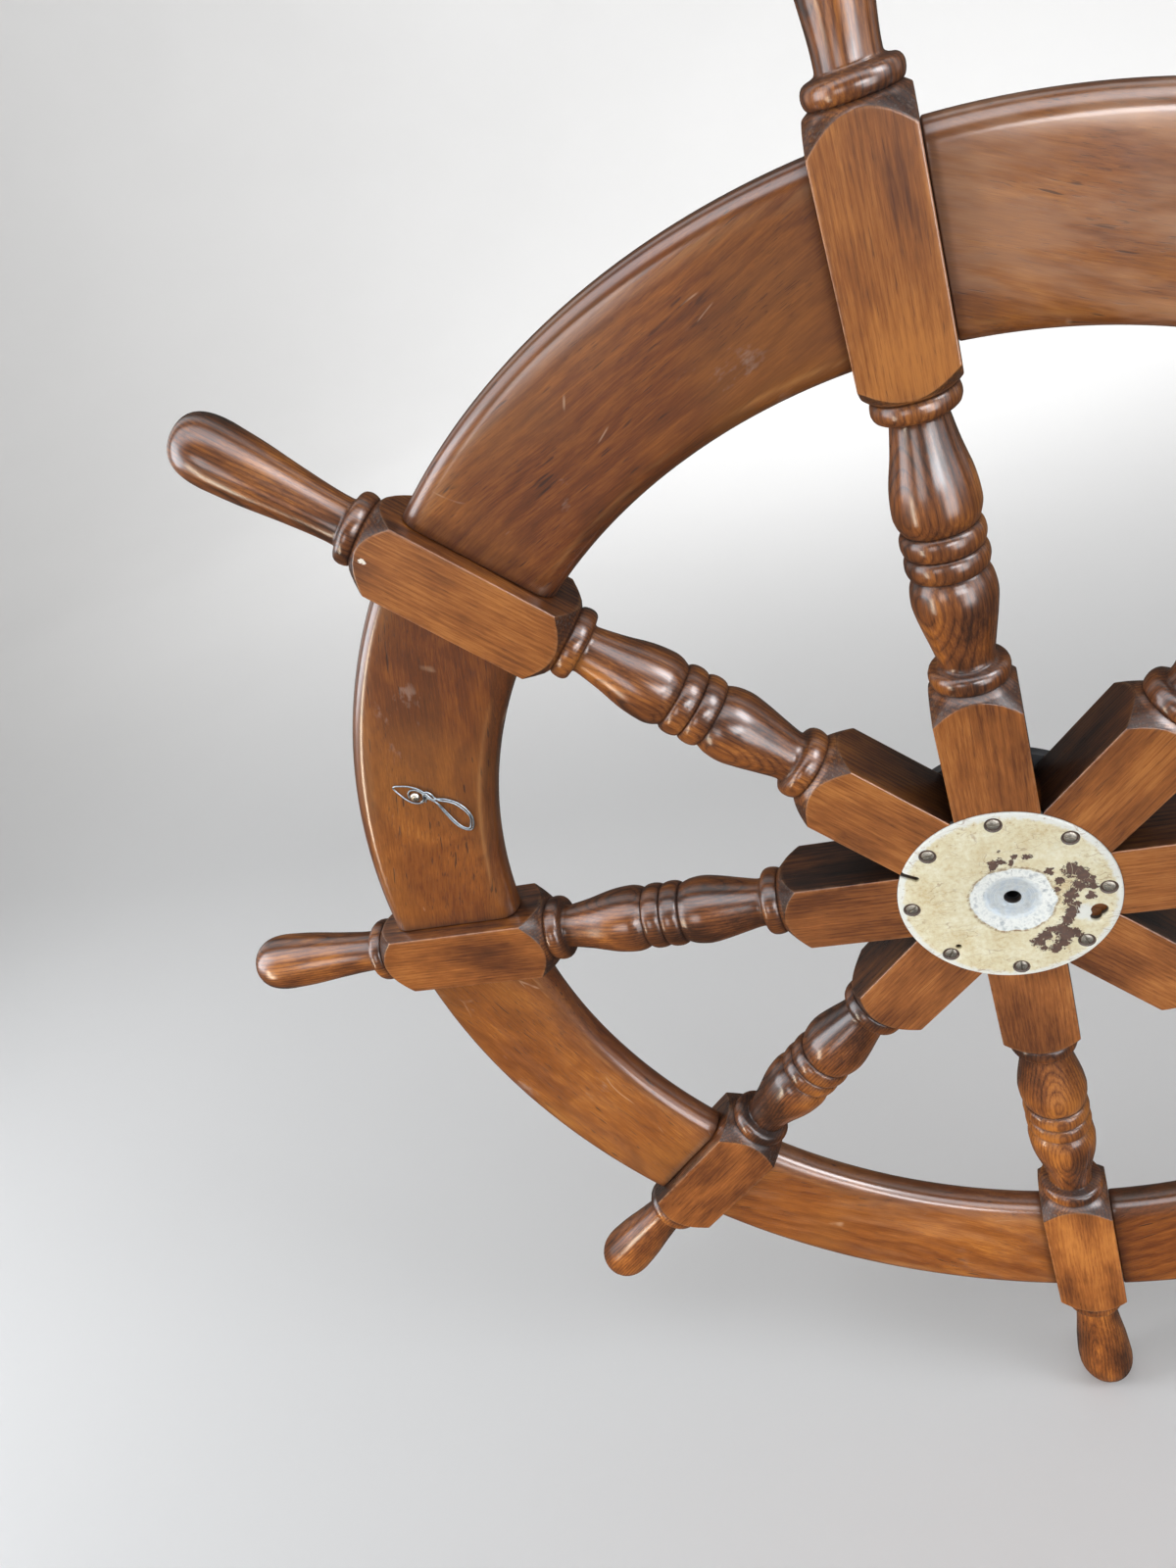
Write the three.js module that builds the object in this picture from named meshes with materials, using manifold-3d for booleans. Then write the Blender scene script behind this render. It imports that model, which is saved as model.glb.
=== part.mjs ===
// Ship steering wheel: eight turned spokes with handles, a rim of eight felloes joined by
// tenons through the spokes, hub plates front and rear, and the stub shaft and flanged wall
// bearing that it turns on. Millimetres, +Z up, the wheel faces -Y and turns about Y.
// The origin is the centre of the wall bearing's rear face.
import * as THREE from 'three';
import { mergeVertices } from 'three/addons/utils/BufferGeometryUtils.js';
import Module from 'manifold-3d';

const wasm = await Module();
wasm.setup();

// ---------------------------------------------------------------- driving dimensions
const SPOKES = 8;
const STEP = (2 * Math.PI) / SPOKES;
const GAP = 0.3; // clearance between pieces that touch

const MID_PLANE = -95; // y of the plane that holds the spokes' centre lines
const BLOCK = 52.5; // the spokes are turned from square stock of this side
const HALF = BLOCK / 2;

const TIP = 609.6; // wheel axis to handle tip
const RIM = { inner: 356, outer: 462, thick: 28, edge: 12 };
const TENON = { middle: 409, width: 60, thick: 12, reach: 25 };

// Places along a spoke, measured from the wheel axis. The shoulders are turned: each goes
// from the square's corners (half diagonal) down to the middle of its faces and into a groove.
const CORNER = HALF * Math.SQRT2;
const HUB_BLOCK_END = { corner: 139, face: 151.5, groove: 155 };
const RIM_BLOCK_START = { groove: 336, face: 338.5, corner: 350 };
const RIM_BLOCK_END = { corner: 462, face: 476.5, groove: 479.3 };
const GROOVE_RADIUS = 22.6;
const RING_RADIUS = 24.2;
const NECK_RADIUS = 16.2;
const VASE_RADIUS = 25;

const BARREL = { outer: 22, bore: 12.9 };
const SHAFT = { radius: 12.5, front: -22.2, rear: 94 };
const KEY = { width: 8, height: 7, from: 1, to: 57 };

const FRONT_PLATE = { radius: 70.2, thick: 5, proud: 1.6, shift: -3, chamfer: 1 };
const PLATE_HOLE = 5.2;
const PLATE_DISH = { radius: 18, depth: 1.2 };
const PLATE_NOTCH = { width: 4.2, turn: Math.PI / 6, x: -67.5, z: 31.9, endX: -57.1, endZ: 25.9 };
const PLATE_KEYHOLE = [[5.5, 51.2, -18.4], [3.8, 48.4, -23.8]]; // radius, x, z
const PLATE_SMALL_HOLE = [2.1, -40.5, -37.5];
const FRONT_SCREW_CIRCLE = 61.7;
const REAR_PLATE = { radius: 78, thick: 9, chamfer: 1 };
const REAR_BOSS = { radius: 27, rear: 59.5 };
const REAR_SCREW_CIRCLE = 66;
const PLATE_SCREW = { head: 5, headDepth: 2.6, shank: 2.4, length: 30, slot: 1.2 };
const SET_SCREW = { radius: 3.9, tip: 12.9, end: 26.4, place: 48 };

// The wall flange is an oval: a circle in the middle and a smaller one round each bolt.
const WALL_FLANGE = { middle: 31, end: 14, reach: 48, thick: 12, recess: 24, recessDepth: 10 };
const WALL_BOSS = { radius: 30, front: 62.6 };
const WALL_BOLT_RADIUS = 4.5;
const BUSH = { outer: 16, bore: 12.95, rear: 84 };
const THRUST_WASHER = { inner: 13.2, outer: 26, front: 60 };
const CLIP = { inner: 11.6, outer: 16.5, front: 85.2, thick: 1.6, mouth: Math.PI / 3 };

const WIRE_SCREW = { x: -384.4, z: 149.5, head: 3.6, headHeight: 2.4, under: 2.3, shank: 1.8 };
const WIRE_RADIUS = 0.7;

const LATHE_SIDES = 12;
const ROUND_SIDES = 32;
const HOLE_SIDES = 12;

// ---------------------------------------------------------------- materials
function material(color, roughness, metalness) {
  return new THREE.MeshStandardMaterial({ color, roughness, metalness });
}
const stainedOak = () => material(0x965a32, 0.45, 0);
const stainedMahogany = () => material(0x7d4c2a, 0.4, 0);
const tenonWood = () => material(0xb98a5a, 0.7, 0);
const creamPaint = () => material(0xe1d8b4, 0.5, 0.1);
const blackPaint = () => material(0x2b2c2f, 0.5, 0.3);
const brightSteel = () => material(0xb9bcc0, 0.35, 1);
const darkSteel = () => material(0x5d6064, 0.45, 1);
const bronze = () => material(0xa9793f, 0.4, 1);
const wireSteel = () => material(0xa9b4bd, 0.35, 1);

// ---------------------------------------------------------------- solids and booleans
// A closed three.js geometry as a manifold solid: only positions, shared vertices merged and
// the collapsed triangles on a lathe's axis dropped.
function solid(geometry) {
  const bare = geometry.clone();
  bare.deleteAttribute('normal');
  bare.deleteAttribute('uv');
  const merged = mergeVertices(bare, 1e-4);
  const triVerts = [];
  for (let i = 0; i < merged.index.count; i += 3) {
    const [a, b, c] = [0, 1, 2].map((k) => merged.index.getX(i + k));
    if (a !== b && b !== c && a !== c) {
      triVerts.push(a, b, c);
    }
  }
  return new wasm.Manifold(new wasm.Mesh({
    numProp: 3,
    vertProperties: new Float32Array(merged.attributes.position.array),
    triVerts: new Uint32Array(triVerts),
  }));
}

function geometryOf(manifold) {
  const mesh = manifold.getMesh();
  const geometry = new THREE.BufferGeometry();
  geometry.setAttribute('position', new THREE.BufferAttribute(mesh.vertProperties, 3));
  geometry.setIndex(new THREE.BufferAttribute(mesh.triVerts, 1));
  geometry.computeVertexNormals();
  return geometry;
}

function cut(body, ...tools) {
  return tools.reduce((left, tool) => left.subtract(solid(tool)), body);
}

// A profile of [radius, height] points, from low to high, turned about Y.
function turnedAboutY(profile, sides = ROUND_SIDES, start = 0) {
  const points = profile.map(([radius, height]) => new THREE.Vector2(radius, height));
  return new THREE.LatheGeometry(points, sides, start);
}

function turnedAboutZ(profile, sides = LATHE_SIDES, start = 0) {
  return turnedAboutY(profile, sides, start).rotateX(Math.PI / 2);
}

// A solid rod along Y between two heights.
function rodY(radius, from, to, sides = ROUND_SIDES) {
  return turnedAboutY([[0, from], [radius, from], [radius, to], [0, to]], sides);
}

function sleeveY(inner, outer, from, to, sides = ROUND_SIDES) {
  const profile = [[inner, from], [outer, from], [outer, to], [inner, to], [inner, from]];
  return turnedAboutY(profile, sides);
}

// An outline of [x, z] points, given thickness along Y between two heights.
function slabY(outline, from, to) {
  const shape = new THREE.Shape(outline.map(([x, z]) => new THREE.Vector2(x, z)));
  const slab = new THREE.ExtrudeGeometry(shape, { depth: to - from, bevelEnabled: false });
  return slab.rotateX(Math.PI / 2).translate(0, to, 0);
}

function box(sizeX, sizeY, sizeZ, x = 0, y = 0, z = 0) {
  return new THREE.BoxGeometry(sizeX, sizeY, sizeZ).translate(x, y, z);
}

const object = new THREE.Group();
const wheel = new THREE.Group(); // its own y = 0 is the spokes' mid plane
wheel.position.y = MID_PLANE;
object.add(wheel);

function addPart(parent, name, shape, finish, turn = 0) {
  const geometry = shape instanceof THREE.BufferGeometry ? shape : geometryOf(shape);
  const mesh = new THREE.Mesh(geometry, finish());
  mesh.name = name;
  mesh.rotation.y = turn;
  parent.add(mesh);
}

// ---------------------------------------------------------------- spokes
// A bead between two grooves, as [radius, place] points without its own first groove.
function bead(from, to, radius, endRadius) {
  const length = to - from;
  return [
    [radius - 0.4, from + length * 0.22],
    [radius - 0.2, from + length * 0.7],
    [endRadius, to],
  ];
}

// A smooth stretch through a few [radius, place] points, without the first of them.
function curved(points, pieces) {
  const curve = new THREE.SplineCurve(points.map(([r, s]) => new THREE.Vector2(r, s)));
  return curve.getPoints(pieces).slice(1).map((p) => [p.x, p.y]);
}

function spokeProfile() {
  const clear = CORNER + 2; // over the square stock, so that the blocks stay square
  return [
    [0, 0],
    [clear, 0],
    [clear, HUB_BLOCK_END.corner],
    [CORNER, HUB_BLOCK_END.corner],
    [HALF, HUB_BLOCK_END.face],
    [GROOVE_RADIUS, HUB_BLOCK_END.groove],
    [RING_RADIUS - 0.6, 157.5],
    [RING_RADIUS, 161],
    [21.6, 166],
    [NECK_RADIUS + 1, 170.5],
    ...curved([[17.2, 170.5], [19.9, 185], [23.2, 200], [VASE_RADIUS, 213], [21.6, 229.3]], 5),
    ...bead(229.3, 243.5, 24.2, 22.4),
    ...bead(243.5, 257.7, 24.2, 21.6),
    ...curved([[21.6, 257.7], [VASE_RADIUS, 270], [23.6, 285], [19.4, 303], [16.2, 321]], 5),
    [NECK_RADIUS, 323],
    [21.8, 325.5],
    [RING_RADIUS, 330.5],
    [RING_RADIUS - 0.6, 334],
    [GROOVE_RADIUS, RIM_BLOCK_START.groove],
    [HALF, RIM_BLOCK_START.face],
    [CORNER, RIM_BLOCK_START.corner],
    [clear, RIM_BLOCK_START.corner],
    [clear, RIM_BLOCK_END.corner],
    [CORNER, RIM_BLOCK_END.corner],
    [HALF, RIM_BLOCK_END.face],
    [GROOVE_RADIUS, RIM_BLOCK_END.groove],
    [RING_RADIUS, 482.5],
    [RING_RADIUS, 486.5],
    [21, 490.5],
    [NECK_RADIUS, 492.5],
    ...curved([[16.2, 492.5], [16.4, 508], [18.6, 532], [21.6, 557], [23, 580], [21.6, 597]], 5),
    [18.6, 603],
    [12, 608],
    [0, TIP],
  ];
}

// The square stock seen from the front, mitred to a wedge at the wheel's axis.
function spokeStock() {
  const mitre = Math.tan(STEP / 2);
  const point = GAP / 2 / Math.sin(STEP / 2);
  const shoulder = point + HALF / mitre;
  const far = TIP + 10;
  const outline = [[0, point], [HALF, shoulder], [HALF, far], [-HALF, far], [-HALF, shoulder]];
  return slabY(outline, -HALF, HALF);
}

function tenonSpace() {
  const across = 2 * (HALF + TENON.reach + GAP * 2);
  return box(across, TENON.thick + 2 * GAP, TENON.width + 2 * GAP, 0, 0, TENON.middle);
}

const plateFront = -HALF - FRONT_PLATE.proud;
const plateRear = plateFront + FRONT_PLATE.thick;
const rearPlateFront = HALF + GAP;
const rearPlateRear = rearPlateFront + REAR_PLATE.thick;

// A screw with a countersunk head at y = 0, pointing along +Y; grow widens it into its hole.
function screwBody(grow) {
  const { head, headDepth, shank, length } = PLATE_SCREW;
  const over = grow ? 2 : 0;
  return turnedAboutY([
    [0, -over],
    [head + grow, -over],
    [head + grow, grow],
    [shank + grow, headDepth + grow],
    [shank + grow, length - 3],
    [0, length + grow],
  ], HOLE_SIDES);
}

const frontScrewPlace = (turn) => [
  FRONT_PLATE.shift + FRONT_SCREW_CIRCLE * Math.sin(turn),
  FRONT_SCREW_CIRCLE * Math.cos(turn),
];
const rearScrewPlace = (turn) => [
  REAR_SCREW_CIRCLE * Math.sin(turn),
  REAR_SCREW_CIRCLE * Math.cos(turn),
];

function frontScrewAt(turn, grow) {
  const [x, z] = frontScrewPlace(turn);
  return screwBody(grow).translate(x, plateFront, z);
}

function rearScrewAt(turn, grow) {
  const [x, z] = rearScrewPlace(turn);
  return screwBody(grow).rotateX(Math.PI).translate(x, rearPlateRear, z);
}

function spoke(turn) {
  const turned = solid(turnedAboutZ(spokeProfile(), LATHE_SIDES, STEP / 3));
  const plateSeat = rodY(FRONT_PLATE.radius + GAP, -HALF - 2, plateRear + GAP);
  return cut(
    solid(spokeStock()).intersect(turned),
    rodY(BARREL.outer + GAP * 1.6, -BLOCK, BLOCK, ROUND_SIDES),
    tenonSpace(),
    plateSeat.translate(FRONT_PLATE.shift, 0, 0).rotateY(-turn),
    frontScrewAt(turn, GAP).rotateY(-turn),
    rearScrewAt(turn, GAP).rotateY(-turn),
  );
}

for (let i = 0; i < SPOKES; i += 1) {
  addPart(wheel, `spoke_${i + 1}`, spoke(i * STEP), stainedOak, i * STEP);
}

// ---------------------------------------------------------------- rim
function rimSection() {
  const { inner, outer, thick, edge } = RIM;
  const half = thick / 2;
  const corners = [
    [inner + edge, -half + edge, Math.PI, 1.5 * Math.PI],
    [outer - edge, -half + edge, 1.5 * Math.PI, 2 * Math.PI],
    [outer - edge, half - edge, 0, 0.5 * Math.PI],
    [inner + edge, half - edge, 0.5 * Math.PI, Math.PI],
  ];
  const section = corners.flatMap(([r, y, from, to]) => {
    const arc = new THREE.EllipseCurve(r, y, edge, edge, from, to);
    return arc.getPoints(3).map((p) => [p.x, p.y]);
  });
  return [...section, section[0]];
}

// One felloe fills the rim between the flat sides of two neighbouring spokes. Its own +Z
// runs midway between them.
function felloe() {
  const half = STEP / 2;
  const offset = HALF + GAP;
  const far = RIM.outer + 60;
  const along = (side) => [
    side * (far * Math.sin(half) - offset * Math.cos(half)),
    far * Math.cos(half) + offset * Math.sin(half),
  ];
  const wedge = slabY([[0, offset / Math.sin(half)], along(1), along(-1)], -BLOCK, BLOCK);
  const ring = solid(turnedAboutY(rimSection(), SPOKES * 8, half));
  return cut(
    ring.intersect(solid(wedge)),
    tenonSpace().rotateY(half),
    tenonSpace().rotateY(-half),
  );
}

// The tenon runs from one felloe through the spoke's block into the next, with eased edges.
function tenon() {
  const ease = 2;
  const halfWidth = TENON.width / 2;
  const halfThick = TENON.thick / 2;
  const outline = new THREE.Shape();
  outline.moveTo(-halfThick + ease, -halfWidth);
  outline.lineTo(halfThick - ease, -halfWidth);
  outline.lineTo(halfThick, -halfWidth + ease);
  outline.lineTo(halfThick, halfWidth - ease);
  outline.lineTo(halfThick - ease, halfWidth);
  outline.lineTo(-halfThick + ease, halfWidth);
  outline.lineTo(-halfThick, halfWidth - ease);
  outline.lineTo(-halfThick, -halfWidth + ease);
  const length = 2 * (HALF + TENON.reach);
  const board = new THREE.ExtrudeGeometry(outline, { depth: length, bevelEnabled: false });
  board.translate(0, 0, -length / 2).rotateX(Math.PI / 2).rotateZ(Math.PI / 2);
  return board.translate(0, 0, TENON.middle);
}

function wireScrewHole() {
  const depth = 20;
  const hole = rodY(WIRE_SCREW.shank + GAP, -RIM.thick, -RIM.thick / 2 + depth, HOLE_SIDES);
  return hole.translate(WIRE_SCREW.x, 0, WIRE_SCREW.z);
}

const WIRE_FELLOE = 7;
for (let i = 0; i < SPOKES; i += 1) {
  const turn = (i + 0.5) * STEP;
  const body = i + 1 === WIRE_FELLOE ? cut(felloe(), wireScrewHole().rotateY(-turn)) : felloe();
  addPart(wheel, `felloe_${i + 1}`, body, stainedMahogany, turn);
  addPart(wheel, `felloe_tenon_${i + 1}`, tenon(), tenonWood, i * STEP);
}

// ---------------------------------------------------------------- front hub plate
function frontPlate() {
  const { radius, chamfer, shift } = FRONT_PLATE;
  const disc = turnedAboutY([
    [0, plateFront],
    [radius - chamfer, plateFront],
    [radius, plateFront + chamfer],
    [radius, plateRear],
    [0, plateRear],
  ]).translate(shift, 0, 0);
  const dish = turnedAboutY([
    [0, plateFront - 1],
    [PLATE_DISH.radius, plateFront - 1],
    [PLATE_DISH.radius, plateFront],
    [PLATE_HOLE, plateFront + PLATE_DISH.depth],
    [0, plateFront + PLATE_DISH.depth],
  ]);
  const through = [plateFront - 2, plateRear + 2];
  const { width, turn, x, z, endX, endZ } = PLATE_NOTCH;
  const notch = box(24, 12, width).rotateY(turn).translate(x, plateFront, z);
  const holes = [...PLATE_KEYHOLE, PLATE_SMALL_HOLE, [width / 2, endX, endZ]];
  const screwHoles = Array.from({ length: SPOKES }, (_, i) => frontScrewAt(i * STEP, GAP));
  return cut(
    solid(disc),
    dish,
    rodY(PLATE_HOLE, ...through, HOLE_SIDES * 2),
    notch,
    ...holes.map(([r, atX, atZ]) => rodY(r, ...through, HOLE_SIDES).translate(atX, 0, atZ)),
    ...screwHoles,
  );
}
addPart(wheel, 'front_hub_plate', frontPlate(), creamPaint);

// ---------------------------------------------------------------- rear hub flange
const keywayHeight = SHAFT.radius - KEY.height / 2 + KEY.height + 2 * GAP;

function keyway(from, to) {
  const width = KEY.width + 2 * GAP;
  return box(width, to - from, keywayHeight, 0, (from + to) / 2, keywayHeight / 2);
}

function setScrewSpace() {
  const { radius, tip, end, place } = SET_SCREW;
  const hole = rodY(radius + GAP, tip - 3, end + 4, HOLE_SIDES).rotateZ(-Math.PI / 2);
  return hole.translate(0, place, 0);
}

function rearFlange() {
  const { radius, chamfer } = REAR_PLATE;
  const body = turnedAboutY([
    [BARREL.bore, rearPlateFront],
    [radius, rearPlateFront],
    [radius, rearPlateRear - chamfer],
    [radius - chamfer, rearPlateRear],
    [REAR_BOSS.radius + 3, rearPlateRear],
    [REAR_BOSS.radius, rearPlateRear + 3],
    [REAR_BOSS.radius, REAR_BOSS.rear - 1],
    [REAR_BOSS.radius - 1, REAR_BOSS.rear],
    [BARREL.bore, REAR_BOSS.rear],
    [BARREL.bore, rearPlateFront],
  ]);
  const screwHoles = Array.from({ length: SPOKES }, (_, i) => rearScrewAt(i * STEP, GAP));
  return cut(
    solid(body),
    keyway(rearPlateFront - 1, REAR_BOSS.rear + 1),
    setScrewSpace(),
    setScrewSpace().rotateY(Math.PI / 2),
    ...screwHoles,
  );
}
addPart(wheel, 'rear_hub_flange', rearFlange(), blackPaint);

// ---------------------------------------------------------------- hub screws
function plateScrew(slotTurn) {
  const slot = box(3 * PLATE_SCREW.head, 2 * PLATE_SCREW.slot, PLATE_SCREW.slot);
  return cut(solid(screwBody(0)), slot.rotateY(slotTurn));
}

for (let i = 0; i < SPOKES; i += 1) {
  const [frontX, frontZ] = frontScrewPlace(i * STEP);
  const front = geometryOf(plateScrew(0.4 * i)).translate(frontX, plateFront, frontZ);
  addPart(wheel, `front_plate_screw_${i + 1}`, front, brightSteel);
  const [rearX, rearZ] = rearScrewPlace(i * STEP);
  const rear = geometryOf(plateScrew(0.7 * i)).rotateX(Math.PI);
  rear.translate(rearX, rearPlateRear, rearZ);
  addPart(wheel, `rear_flange_screw_${i + 1}`, rear, darkSteel);
}

// A headless set screw with a hexagon socket, pointing at the shaft.
function setScrew() {
  const { radius, tip, end, place } = SET_SCREW;
  const body = turnedAboutY([
    [0, tip],
    [radius - 1, tip],
    [radius, tip + 1],
    [radius, end],
    [0, end],
  ], HOLE_SIDES);
  const socket = rodY(2.2, end - 4, end + 1, 6);
  return geometryOf(cut(solid(body), socket)).rotateZ(-Math.PI / 2).translate(0, place, 0);
}
addPart(wheel, 'hub_set_screw_1', setScrew(), darkSteel);
addPart(wheel, 'hub_set_screw_2', setScrew(), darkSteel, Math.PI / 2);

// ---------------------------------------------------------------- hub barrel, shaft and key
function hubBarrel() {
  const front = plateRear + GAP;
  const body = sleeveY(BARREL.bore, BARREL.outer, front, HALF);
  return cut(solid(body), keyway(front - 1, HALF + 1));
}
addPart(wheel, 'hub_barrel', hubBarrel(), darkSteel);

function steeringShaft() {
  const { radius, front, rear } = SHAFT;
  const grooveDepth = radius - CLIP.inner + GAP;
  const body = turnedAboutY([
    [0, front],
    [radius - 1, front],
    [radius, front + 1],
    [radius, CLIP.front - GAP],
    [radius - grooveDepth, CLIP.front - GAP],
    [radius - grooveDepth, CLIP.front + CLIP.thick + GAP],
    [radius, CLIP.front + CLIP.thick + GAP],
    [radius, rear - 1],
    [radius - 1, rear],
    [0, rear],
  ]);
  const seatDepth = KEY.height / 2 + GAP;
  const seatLength = KEY.to - KEY.from + 2 * GAP;
  const seat = box(KEY.width + 2 * GAP, seatLength, 2 * seatDepth);
  return cut(
    solid(body),
    seat.translate(0, (KEY.from + KEY.to) / 2, radius),
    rodY(4.25, front - 1, front + 24, HOLE_SIDES),
  );
}
addPart(wheel, 'steering_shaft', steeringShaft(), brightSteel);

function shaftKey() {
  const round = KEY.width / 2;
  const outline = new THREE.Shape();
  outline.absarc(0, KEY.from + round, round, Math.PI, 2 * Math.PI);
  outline.absarc(0, KEY.to - round, round, 0, Math.PI);
  const options = { depth: KEY.height, bevelEnabled: false, curveSegments: 6 };
  const bar = new THREE.ExtrudeGeometry(outline, options);
  return bar.translate(0, 0, SHAFT.radius - KEY.height / 2);
}
addPart(wheel, 'shaft_key', shaftKey(), darkSteel);

// An open ring with a mouth, so that it snaps into the shaft's groove.
function retainingRing() {
  const { inner, outer, front, thick, mouth } = CLIP;
  const outline = new THREE.Shape();
  outline.absarc(0, 0, outer, mouth / 2, 2 * Math.PI - mouth / 2);
  outline.absarc(0, 0, inner, 2 * Math.PI - mouth / 2, mouth / 2, true);
  const options = { depth: thick, bevelEnabled: false, curveSegments: 12 };
  const ring = new THREE.ExtrudeGeometry(outline, options).rotateX(Math.PI / 2);
  return ring.translate(0, front + thick, 0);
}
addPart(wheel, 'retaining_ring', retainingRing(), darkSteel);

// ---------------------------------------------------------------- wire loop on the rim
// Twisted soft wire, pinched under a screw: a small ear on one side, a long loop on the
// other. Each row is x and z from the screw and the height above the felloe's face.
const WIRE_ROUTE = [
  [9.5, -4.2, 1.2],
  [5, -4.6, 1.2],
  [1.4, -6.2, 1.2],
  [-3.3, -6.2, 1.2],
  [-7.5, -3.1, 1.2],
  [-11, 1.5, 1.5],
  [-14.2, 7.3, 2.2],
  [-13.4, 10.2, 2.6],
  [-9, 10.6, 2.4],
  [-5.5, 9.7, 2],
  [0, 7.4, 1.5],
  [6.1, 3.5, 1.5],
  [10.4, -0.9, 2.8],
  [13.4, -4.4, 3.6],
  [14, -8.5, 2.8],
  [14.5, -13.2, 1.6],
  [16.7, -20.7, 1.2],
  [18.9, -28.4, 1.2],
  [23, -33.7, 1.2],
  [27.6, -35.9, 1.4],
  [32.2, -32.6, 1.8],
  [34.3, -27.6, 2],
  [33.5, -20.3, 2],
  [30.9, -13.6, 1.6],
  [26.2, -10.1, 1.3],
  [21, -7.3, 1.2],
  [16.2, -5.6, 1.2],
];

function wireLoop() {
  const face = -RIM.thick / 2;
  const { x, z } = WIRE_SCREW;
  const points = WIRE_ROUTE.map(([dx, dz, up]) => new THREE.Vector3(x + dx, face - up, z + dz));
  const section = new THREE.Shape();
  section.absarc(0, 0, WIRE_RADIUS, 0, 2 * Math.PI);
  return new THREE.ExtrudeGeometry(section, {
    extrudePath: new THREE.CatmullRomCurve3(points),
    steps: 60,
    curveSegments: 3,
  });
}
addPart(wheel, 'wire_loop', wireLoop(), wireSteel);

function wireScrew() {
  const { x, z, head, headHeight, under, shank } = WIRE_SCREW;
  const face = -RIM.thick / 2;
  const top = face - under - headHeight;
  const body = turnedAboutY([
    [0, top],
    [head * 0.6, top + 0.3],
    [head, top + 1.3],
    [head, face - under],
    [shank, face - under],
    [shank, face + 15],
    [0, face + 18],
  ], HOLE_SIDES);
  const slot = box(3 * head, 1.4, 1).rotateY(0.6).translate(0, top, 0);
  return geometryOf(cut(solid(body), slot)).translate(x, 0, z);
}
addPart(wheel, 'wire_screw', wireScrew(), brightSteel);

// ---------------------------------------------------------------- wall bearing
function ovalOutline({ middle, end, reach }, pieces = 8) {
  const lean = Math.acos((middle - end) / reach); // where the straight edges start
  const arcs = [
    [reach, end, -lean, lean],
    [0, middle, lean, Math.PI - lean],
    [-reach, end, Math.PI - lean, Math.PI + lean],
    [0, middle, Math.PI + lean, 2 * Math.PI - lean],
  ];
  return arcs.flatMap(([x, radius, from, to]) => Array.from({ length: pieces + 1 }, (_, i) => {
    const turn = from + ((to - from) * i) / pieces;
    return [x + radius * Math.cos(turn), radius * Math.sin(turn)];
  }));
}

function wallBearing() {
  const { reach, thick, recess, recessDepth } = WALL_FLANGE;
  const { radius, front } = WALL_BOSS;
  const rear = -MID_PLANE;
  const flangeFront = rear - thick;
  const boss = turnedAboutY([
    [0, front],
    [radius - 1, front],
    [radius, front + 1],
    [radius, rear - 1],
    [0, rear - 1],
  ]);
  const flange = slabY(ovalOutline(WALL_FLANGE), flangeFront, rear);
  const bolt = (x) => rodY(WALL_BOLT_RADIUS, flangeFront - 3, rear + 3, HOLE_SIDES).translate(x, 0, 0);
  const body = cut(
    solid(flange).add(solid(boss)),
    rodY(BUSH.outer + GAP, front - 1, rear),
    rodY(recess, rear - recessDepth, rear + 1),
    bolt(reach),
    bolt(-reach),
  );
  return geometryOf(body).translate(0, MID_PLANE, 0);
}
addPart(object, 'wall_bearing', wallBearing(), blackPaint);

const bush = sleeveY(BUSH.bore, BUSH.outer, WALL_BOSS.front, BUSH.rear);
addPart(object, 'bearing_bush', bush.translate(0, MID_PLANE, 0), bronze);

const washer = sleeveY(
  THRUST_WASHER.inner,
  THRUST_WASHER.outer,
  THRUST_WASHER.front,
  WALL_BOSS.front - GAP,
);
addPart(object, 'thrust_washer', washer.translate(0, MID_PLANE, 0), bronze);

export default object;
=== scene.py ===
"""Looks of the ship steering wheel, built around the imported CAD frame.

Metres, +Z up, the wheel faces -Y and turns about Y. Lengths written as 12.5 * MM are
millimetres. A piece of the wheel is made in its own frame, whose +Z runs outwards along a
spoke or along the middle of a felloe and whose y = 0 is the wheel's mid plane, and is then
turned into place.
"""
import math

import bmesh
import bpy
import numpy as np
from mathutils import Matrix, Vector


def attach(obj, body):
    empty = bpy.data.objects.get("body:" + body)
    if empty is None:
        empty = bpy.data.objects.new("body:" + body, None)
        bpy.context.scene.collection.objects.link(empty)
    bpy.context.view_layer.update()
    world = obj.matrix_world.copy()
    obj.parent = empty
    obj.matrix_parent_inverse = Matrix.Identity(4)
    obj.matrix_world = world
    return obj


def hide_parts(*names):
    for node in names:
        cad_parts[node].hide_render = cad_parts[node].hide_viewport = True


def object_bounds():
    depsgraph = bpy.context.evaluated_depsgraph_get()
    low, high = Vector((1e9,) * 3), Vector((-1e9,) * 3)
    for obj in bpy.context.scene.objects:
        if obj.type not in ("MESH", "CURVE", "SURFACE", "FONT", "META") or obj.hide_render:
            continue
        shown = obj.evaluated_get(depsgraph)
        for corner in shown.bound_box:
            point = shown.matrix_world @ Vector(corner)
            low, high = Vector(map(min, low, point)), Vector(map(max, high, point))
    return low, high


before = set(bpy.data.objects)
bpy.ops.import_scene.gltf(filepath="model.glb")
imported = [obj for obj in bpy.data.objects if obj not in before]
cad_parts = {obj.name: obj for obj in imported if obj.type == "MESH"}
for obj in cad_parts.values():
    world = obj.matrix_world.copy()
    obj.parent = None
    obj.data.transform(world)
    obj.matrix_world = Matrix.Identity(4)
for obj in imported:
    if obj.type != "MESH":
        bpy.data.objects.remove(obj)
CAD_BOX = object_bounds()

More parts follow.
